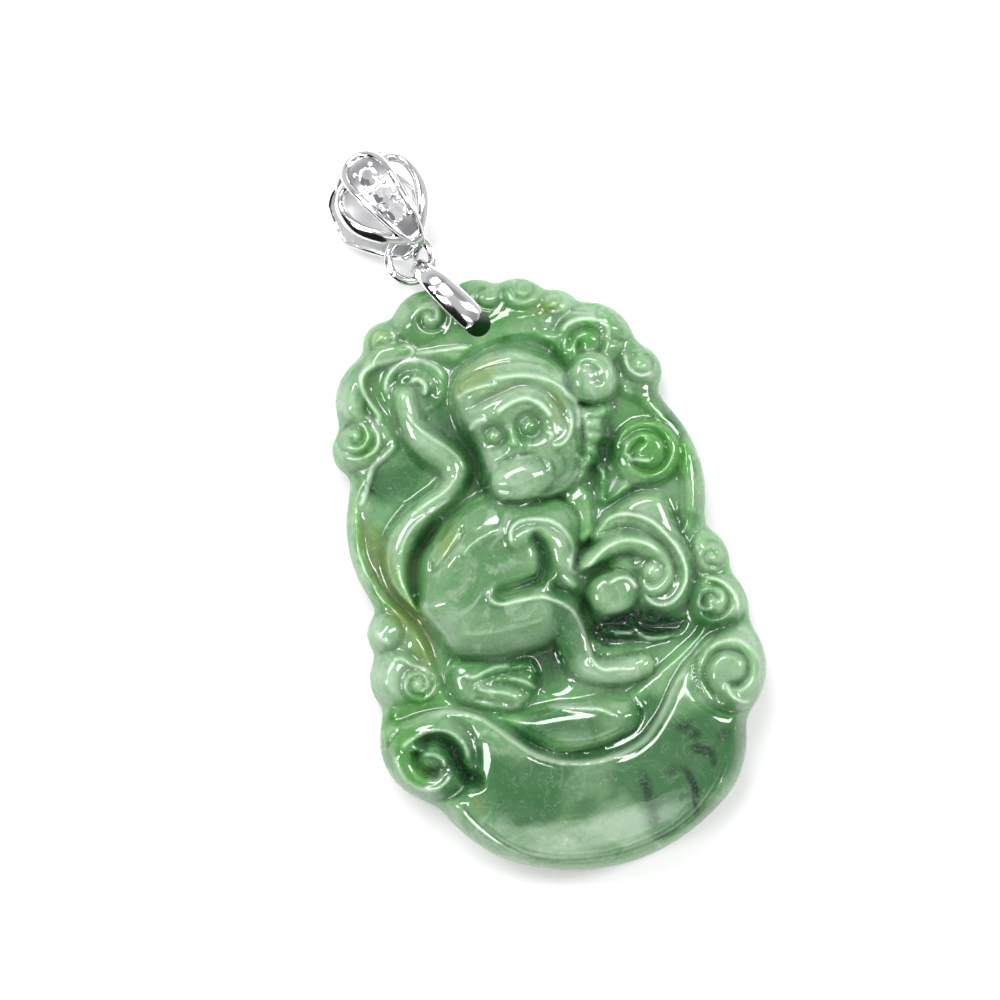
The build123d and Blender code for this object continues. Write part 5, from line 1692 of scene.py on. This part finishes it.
@dataclass
class FlutedBail:
    """Bail of three petals in front, the middle one set with stones, and a plain band behind."""

    finish: bpy.types.Material
    inner_finish: bpy.types.Material
    # Painted shade: the sunk floor round the set stones is darker metal.
    painted_shade_floor_finish: bpy.types.Material
    stone_finish: bpy.types.Material
    centre: tuple = (-1.669, 23.048, 2.634)
    lean: float = 21.0
    roll: float = 4.0
    pitch: float = -6.0
    half: tuple = (3.85, 4.1, 2.7)
    fan_length: float = 7.8
    middle_width: float = 3.4
    wall: float = 0.65
    rim_rise: float = 0.5
    band_offset: tuple = (-0.8, -0.2)
    band_easing: int = 14
    band_fullness: tuple = (0.75, 0.6)
    foot_width: float = 0.78
    foot_front: float = 0.95
    foot_rear: float = -1.4
    foot_overlap: float = 1.1
    stone_pitch: float = 1.65
    stone_middle: float = 0.2706
    stone_sink: float = 0.25
    stone_width: float = 1.45
    seat_gap: float = 0.03
    bead: float = 0.2
    bead_sink: float = 0.02
    fan_squares: float = 78.0
    petal_inset: float = 1.1
    petal_start: float = 0.95
    petal_shortening: float = 1.45
    rim_bottom: float = -0.55
    rim_fullness: float = 0.85
    floor_share: float = 1.08
    floor_bottom: float = -0.5
    floor_top: float = 0.17
    side_fullness: float = 0.7
    smooth_angle: float = 65.0
    # Edges of a side petal and of its window, in squares from the fan's tip
    fan_edge: tuple = ((0, -2), (8, 2), (22, 14.5), (30.5, 26), (35.2, 36), (36.5, 47), (34.5, 57.5),
                       (27, 65.5), (17, 70), (8, 68), (3, 50), (1, 20))
    window_edge: tuple = ((12.4, 15.5), (14.5, 17.5), (18.5, 23.5), (24, 32), (27.6, 41), (28.8, 50),
                          (27.2, 57), (23, 61.2), (19.2, 61.6), (17.4, 57), (17.4, 46), (14.6, 27))
    # The middle petal's half: shares of its half width and of its length
    petal_edge: tuple = ((0.62, 0.22), (0.84, 0.48), (0.99, 0.72), (0.90, 0.88), (0.52, 0.975))
    # Half widths of the back band at bearings round the bail, downwards from the front
    band: tuple = ((25, 2.30), (0, 2.50), (-25, 2.80), (-45, 3.05), (-65, 3.30), (-90, 3.42),
                   (-105, 3.10), (-120, 2.45), (-135, 1.75), (-150, 1.15), (-165, 0.75), (-180, 0.55),
                   (-195, 0.50))

    def unroll(self, plan: np.ndarray) -> np.ndarray:
        """Places seen from the front, as turns over the rounded form that carry on round its side.

        Args:
            plan: Places in millimetres, as seen from the front.

        Returns:
            Turns in radians, to the right and up.
        """
        share = plan / np.array(self.half[:2])
        reach = np.maximum(np.hypot(*share.T), 1e-9)
        bend, bend_turn, slope = 0.8, 0.9273, 1.6667  # from the bend on, the arc sine goes straight on
        rounded = np.arcsin(np.minimum(reach, bend))
        turn = np.where(reach < bend, rounded, bend_turn + (reach - bend) * slope)
        return share * (turn / reach)[:, None]

    def lift(self, turns: np.ndarray, outset: np.ndarray) -> np.ndarray:
        """Places on the rounded form.

        Args:
            turns: Unrolled places.
            outset: How far outside the form, in millimetres.

        Returns:
            Places in the pendant's frame, in metres.
        """
        angle = np.hypot(*turns.T)
        bearing = np.arctan2(turns[:, 1], turns[:, 0])
        away = np.sin(angle)
        unit = np.column_stack([away * np.cos(bearing), away * np.sin(bearing), np.cos(angle)])
        return self.placed(unit, outset)

    def placed(self, unit: np.ndarray, outset: np.ndarray,
               offset: np.ndarray = np.zeros(3)) -> np.ndarray:
        """Points of a unit ball, moved by an offset, as places in metres on the leaning form.

        Args:
            unit: Points of a unit ball.
            outset: How far outside the form, in millimetres.
            offset: The move, in millimetres.

        Returns:
            Places in metres.
        """
        half = np.array(self.half)
        normal = unit / half
        normal /= np.linalg.norm(normal, axis=1)[:, None]
        spots = unit * half + normal * np.asarray(outset).reshape(-1, 1) + offset
        matrix = np.array(self.matrix())
        return (spots @ matrix[:3, :3].T + matrix[:3, 3]) * MM

    def matrix(self) -> Matrix:
        """The bail's place in millimetres."""
        return (Matrix.Translation(self.centre) @ Matrix.Rotation(math.radians(self.lean), 4, "Z")
                @ Matrix.Rotation(math.radians(self.pitch), 4, "X")
                @ Matrix.Rotation(math.radians(self.roll), 4, "Y"))

    def outline(self, rows: Sequence, side: int = 1) -> np.ndarray:
        """A closed edge seen from the front.

        Args:
            rows: Places in squares of the fan's grid, from its tip.
            side: 1 for the right, -1 for the left.

        Returns:
            Closed curve of plan places in millimetres.
        """
        curve = Carving(curve_steps=12).curve(rows, closed=True) * self.fan_length / self.fan_squares
        return curve * np.array([side, 1]) - np.array([0, self.fan_length / 2])

    def petal(self, width: float, length: float, start: float = 0.0) -> np.ndarray:
        """The middle petal's outline, or its floor's with another size and start.

        Args:
            width: In millimetres.
            length: In millimetres.
            start: How far from the fan's tip it starts.

        Returns:
            Closed outline in millimetres.
        """
        half = width / 2
        sides = [(half * x, length * y) for x, y in self.petal_edge]
        rows = [(0, -0.15), (0.42, 0.05), *sides, (0, length)]
        rows += [(-x, y) for x, y in rows[-2:0:-1]]
        return self.outline([(x * 10, (y + start) * 10) for x, y in rows])

    def hoop(self, outer: np.ndarray, inner: np.ndarray, low: float, high: float,
             fullness: float, sides: int = 40) -> bpy.types.Object:
        """A crowned closed band between two outlines.

        Args:
            outer: Plan outline of its outside.
            inner: Plan outline of its window.
            low: Outset of its back.
            high: Outset of its crest.
            fullness: Below one the section is fuller than an oval.
            sides: Points round the section.

        Returns:
            The band.
        """
        outer, inner = self.unroll(outer), self.unroll(inner)
        rows = []
        for angle in np.linspace(0, 2 * np.pi, sides + 1):
            c, s = math.cos(angle), math.sin(angle)
            share = 0.5 + 0.5 * math.copysign(abs(c) ** fullness, c)
            outset = (low + high) / 2 + (high - low) / 2 * math.copysign(abs(s) ** fullness, s)
            rows.append(self.lift(inner + (outer - inner) * share, np.full(len(outer), outset)))
        return seal(sheet(len(outer) - 1, sides, np.vstack(rows)))

    def plate(self, outline: np.ndarray, low: float, high: float, rings: int = 10) -> bpy.types.Object:
        """A curved plate that fills an outline.

        Args:
            outline: Plan outline of its edge.
            low: Outset of its back.
            high: Outset of its front.
            rings: Rows of cells from the middle to the edge.

        Returns:
            The plate.
        """
        edge = self.unroll(outline)
        middle = edge[:-1].mean(0)
        shares = list(np.linspace(0, 1, rings + 1)) + list(np.linspace(1, 0, rings + 1))
        heights = [high] * (rings + 1) + [low] * (rings + 1)
        rows = [self.lift(middle + (edge - middle) * share, np.full(len(edge), height))
                for share, height in zip(shares, heights)]
        return seal(sheet(len(edge) - 1, 2 * rings + 1, np.vstack(rows)))

    def back_band(self, steps: int = 160, sides: int = 36) -> bpy.types.Object:
        """The plain band from the petals' heads over the back to their tips.

        Args:
            steps: Sections along it.
            sides: Points round a section.

        Returns:
            The band.
        """
        keys = np.array(self.band)
        angle = np.linspace(keys[0, 0], keys[-1, 0], steps)
        half = np.interp(-angle, -keys[:, 0], keys[:, 1])
        for _ in range(self.band_easing):
            half[1:-1] = (half[:-2] + 2 * half[1:-1] + half[2:]) / 4
        turn = np.linspace(0, 2 * np.pi, sides + 1)
        cosine, sine = np.cos(turn), np.sin(turn)
        wide, thick = self.band_fullness
        x = np.sign(cosine) * np.abs(cosine) ** wide
        outset = -self.wall / 2 + self.wall / 2 * np.sign(sine) * np.abs(sine) ** thick
        rows = []
        for bearing, width in zip(np.radians(angle), half):
            share = x * width / self.half[0]
            rest = np.sqrt(1 - share**2)
            unit = np.column_stack([share, rest * math.cos(bearing), rest * math.sin(bearing)])
            behind = float(np.clip(0.5 - 0.5 * math.sin(bearing) / 0.3, 0, 1))
            rows.append(self.placed(unit, outset, np.array([*self.band_offset, 0]) * behind))
        return seal(sheet(sides, steps - 1, np.vstack(rows)))

    def seats(self) -> list[Matrix]:
        """Where the three stones sit, as places in millimetres with the stone's axis along Z.

        Returns:
            One place for each stone, from the tip upwards.
        """
        length, depth = self.half[1] + self.rim_rise, self.half[2] + self.rim_rise
        places = []
        for index in range(3):
            along = self.stone_middle + (index - 1) * self.stone_pitch
            height = depth * math.sqrt(1 - (along / length) ** 2)
            tilt = math.atan2(along / length**2, height / depth**2)
            places.append(self.matrix() @ Matrix.Translation((0, along, height - self.stone_sink))
                          @ Matrix.Rotation(-tilt, 4, "X"))
        return places

    def bead_at(self, place: Vector) -> bpy.types.Object:
        """A small round bead at a place in millimetres."""
        deselect()
        bpy.ops.mesh.primitive_ico_sphere_add(subdivisions=3, radius=self.bead * MM,
                                              location=place * MM)
        return bpy.context.active_object

    def middle_petal(self) -> tuple[list[bpy.types.Object], bpy.types.Object]:
        """The set petal: its raised rim with the beads, and its sunk floor with the seats.

        Returns:
            The rim and its beads, and the floor.
        """
        outer = self.petal(self.middle_width, self.fan_length)
        inner = self.petal(self.middle_width - self.petal_inset,
                           self.fan_length - self.petal_shortening, self.petal_start)
        rim = self.hoop(outer, inner, self.rim_bottom, self.rim_rise, self.rim_fullness)
        middle = inner[:-1].mean(0)
        floor = self.plate(middle + (inner - middle) * self.floor_share, self.floor_bottom,
                           self.floor_top)
        for seat in self.seats():
            deselect()
            bpy.ops.mesh.primitive_cylinder_add(vertices=48, depth=3 * MM,
                                                radius=(self.stone_width / 2 + self.seat_gap) * MM)
            tool = bpy.context.active_object
            lifted = seat.copy()
            lifted.translation = seat.translation * MM
            tool.data.transform(lifted)
            floor = cut_away(floor, tool)
        beads = []
        reach = self.stone_width / 2 + self.bead + self.seat_gap
        for seat in self.seats():
            for turn in (45, 135, 225, 315):
                angle = math.radians(turn)
                place = Vector((reach * math.cos(angle), reach * math.sin(angle), -self.bead_sink))
                beads.append(self.bead_at(seat @ place))
        return [rim, *beads], floor

    def side_petals(self) -> list[bpy.types.Object]:
        """The two open petals."""
        return [self.hoop(self.outline(self.fan_edge, side), self.outline(self.window_edge, side),
                          -self.wall, 0.0, self.side_fullness) for side in (1, -1)]

    def foot(self) -> bpy.types.Object:
        """Short round bar between the fan's tip and the band's.

        Returns:
            The bar.
        """
        deselect()
        aside, below = self.band_offset
        front = Vector((0, (self.wall - self.fan_length) / 2, self.foot_front))
        rear = Vector((aside, self.wall / 2 - self.half[1] + below, self.foot_rear))
        length = (front - rear).length * self.foot_overlap * MM
        bpy.ops.mesh.primitive_cylinder_add(vertices=32, radius=self.foot_width / 2 * MM, depth=length)
        bar = bpy.context.active_object
        spin = (front - rear).to_track_quat("Z", "Y").to_matrix().to_4x4()
        place = self.matrix() @ Matrix.Translation((front + rear) / 2) @ spin
        place.translation *= MM
        bar.data.transform(place)
        return bar

    def dress_inside(self, piece: bpy.types.Object) -> None:
        """Give the faces that look towards the bail's middle the satin finish.

        Args:
            piece: A part of the bail.
        """
        piece.data.materials.append(self.inner_finish)
        middle = Vector(self.centre) * MM
        for face in piece.data.polygons:
            inwards = face.normal.dot((middle - face.center).normalized()) > 0.5
            face.material_index = int(inwards)

    def build(self) -> list[bpy.types.Object]:
        """Model and dress the bail, and dress the cut stones.

        Returns:
            The finished pieces.
        """
        pieces = []
        petal, floor = self.middle_petal()
        for name, parts in (("bail_middle_petal", petal), ("bail_stone_floor", [floor]),
                            ("bail_side_petals", self.side_petals()),
                            ("bail_back_band", [self.back_band(), self.foot()])):
            piece = joined(parts) if len(parts) > 1 else parts[0]
            smooth(piece, self.smooth_angle)
            settle(piece, name, self.painted_shade_floor_finish if piece == floor else self.finish)
            self.dress_inside(piece)
            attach(piece, "root")
            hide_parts("bail")
            pieces.append(piece)
        for index in (1, 2, 3):
            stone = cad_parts[f"stone_{index}"]
            stone.data.materials.clear()
            stone.data.materials.append(self.stone_finish)
        return pieces


class Softbox(NamedTuple):
    """A large soft lamp: where it stands as seen in the picture, its size in metres and its watts."""

    name: str
    bearing: float
    elevation: float
    distance: float
    width: float
    height: float
    watts: float


@dataclass
class Studio:
    """Pale table, soft lamps, pale surroundings and the camera above."""

    picture_turn: float = -18.0
    centre: tuple = (-0.475, 0.398, 2.5)
    camera_height: float = 0.4
    frame_width: float = 71.43
    sensor: float = 36.0
    table_size: float = 4.0
    room_strength: float = 0.8
    # Brightness of the room from straight below to straight above
    room_stops: tuple = ((0.0, 0.9), (0.36, 0.9), (0.56, 0.6), (0.68, 0.40), (0.86, 0.45), (0.94, 0.75),
                         (1.0, 0.75))
    panel_bearing: float = 222.0
    panel_elevation: float = 22.0
    panel_edge: tuple = (0.73, 0.79)
    panel_tone: tuple = (0.015, 0.015, 0.015)
    lamps: list = field(default_factory=lambda: [
        Softbox("key", 122, 57, 0.55, 0.42, 0.19, 3.3),
        Softbox("right_strip", 22, 50, 0.50, 0.12, 0.36, 1.8),
        Softbox("low_window", 280, 56, 0.50, 0.21, 0.115, 0.12),
        Softbox("left_strip", 200, 46, 0.55, 0.12, 0.32, 1.4),
    ])

    def table(self) -> bpy.types.Object:
        """The pale table top.

        Returns:
            The table top.
        """
        deselect()
        bpy.ops.mesh.primitive_plane_add(size=self.table_size)
        top = settle(bpy.context.active_object, "table_top", PaleTable("pale_table").material())
        return top

    def way_to(self, bearing: float, elevation: float) -> Vector:
        """Direction to something whose bearing is taken from the picture, in degrees."""
        bearing, rise = math.radians(bearing + self.picture_turn), math.radians(elevation)
        level = math.cos(rise)
        return Vector((math.cos(bearing) * level, math.sin(bearing) * level, math.sin(rise)))

    def surroundings(self) -> None:
        """Pale room, darker overhead, with one dark panel low down for the metal's contrast."""
        world = bpy.data.worlds.new("pale_room")
        bpy.context.scene.world = world
        world.use_nodes = True
        wires = Wiring(world.node_tree)
        place = wires.put("TexCoord").outputs["Generated"]
        height = wires.put("SeparateXYZ", Vector=place).outputs["Z"]
        room = wires.put("ValToRGB", Fac=height)
        ramp = room.color_ramp
        ramp.interpolation = "EASE"
        while len(ramp.elements) < len(self.room_stops):
            ramp.elements.new(0.5)
        for element, (share, value) in zip(ramp.elements, self.room_stops):
            element.position = share
            element.color = (value, value, value, 1)
        way = self.way_to(self.panel_bearing, self.panel_elevation)
        panel = wires.span(wires.math("DOT_PRODUCT", place, way, kind="VectorMath"), *self.panel_edge)
        wires.fill(world.node_tree.nodes["Background"], Strength=self.room_strength,
                   Color=wires.blend(panel, room.outputs["Color"], self.panel_tone))

    def light(self, lamp: Softbox) -> None:
        """Stand one softbox at its place, facing the pendant.

        Args:
            lamp: The softbox.
        """
        data = bpy.data.lights.new(lamp.name, "AREA")
        data.shape = "RECTANGLE"
        data.size, data.size_y, data.energy = lamp.width, lamp.height, lamp.watts
        stand = bpy.data.objects.new(lamp.name, data)
        bpy.context.scene.collection.objects.link(stand)
        away = self.way_to(lamp.bearing, lamp.elevation)
        stand.location = Vector(self.centre) * MM + away * lamp.distance
        stand.rotation_euler = away.to_track_quat("Z", "Y").to_euler()

    def camera(self) -> None:
        """The camera straight above, turned as in the picture."""
        data = bpy.data.cameras.new("camera")
        data.sensor_width = self.sensor
        data.lens = self.camera_height / (self.frame_width * MM) * self.sensor
        data.clip_start, data.clip_end = 0.01, 20
        eye = bpy.data.objects.new("camera", data)
        bpy.context.scene.collection.objects.link(eye)
        eye.location = Vector(self.centre) * MM + Vector((0, 0, self.camera_height))
        eye.rotation_euler = Euler((0, 0, math.radians(self.picture_turn)))
        bpy.context.scene.camera = eye

    def build(self) -> None:
        """Set up the whole studio."""
        self.table()
        self.surroundings()
        for lamp in self.lamps:
            self.light(lamp)
        self.camera()
        bpy.context.scene.view_settings.view_transform = "Standard"


def main() -> None:
    """Build the pendant and its studio."""
    logging.basicConfig(level=logging.INFO, format="%(message)s")
    metal = WhiteMetal("white_metal").material()
    stone = CarvedStone(CloudyJade("cloudy_jade"))
    loop = LeafLoop(metal, stone)
    ring = JumpRing(metal)
    satin = SatinMetal("satin_metal")
    # Darker metal for the sunk stone floor, as painted shade.
    dark = SatinMetal("painted_shade_metal", tone=(0.42, 0.42, 0.44), roughness=0.25)
    bail = FlutedBail(metal, satin.material(), dark.material(), ClearStone("clear_stone").material())
    for part in (stone, loop, ring, bail):
        built = part.build()
        for piece in built if isinstance(built, list) else [built]:
            LOG.info("%s: %d faces", piece.name, len(piece.data.polygons))
    Studio().build()


if __name__ == "__main__":
    main()
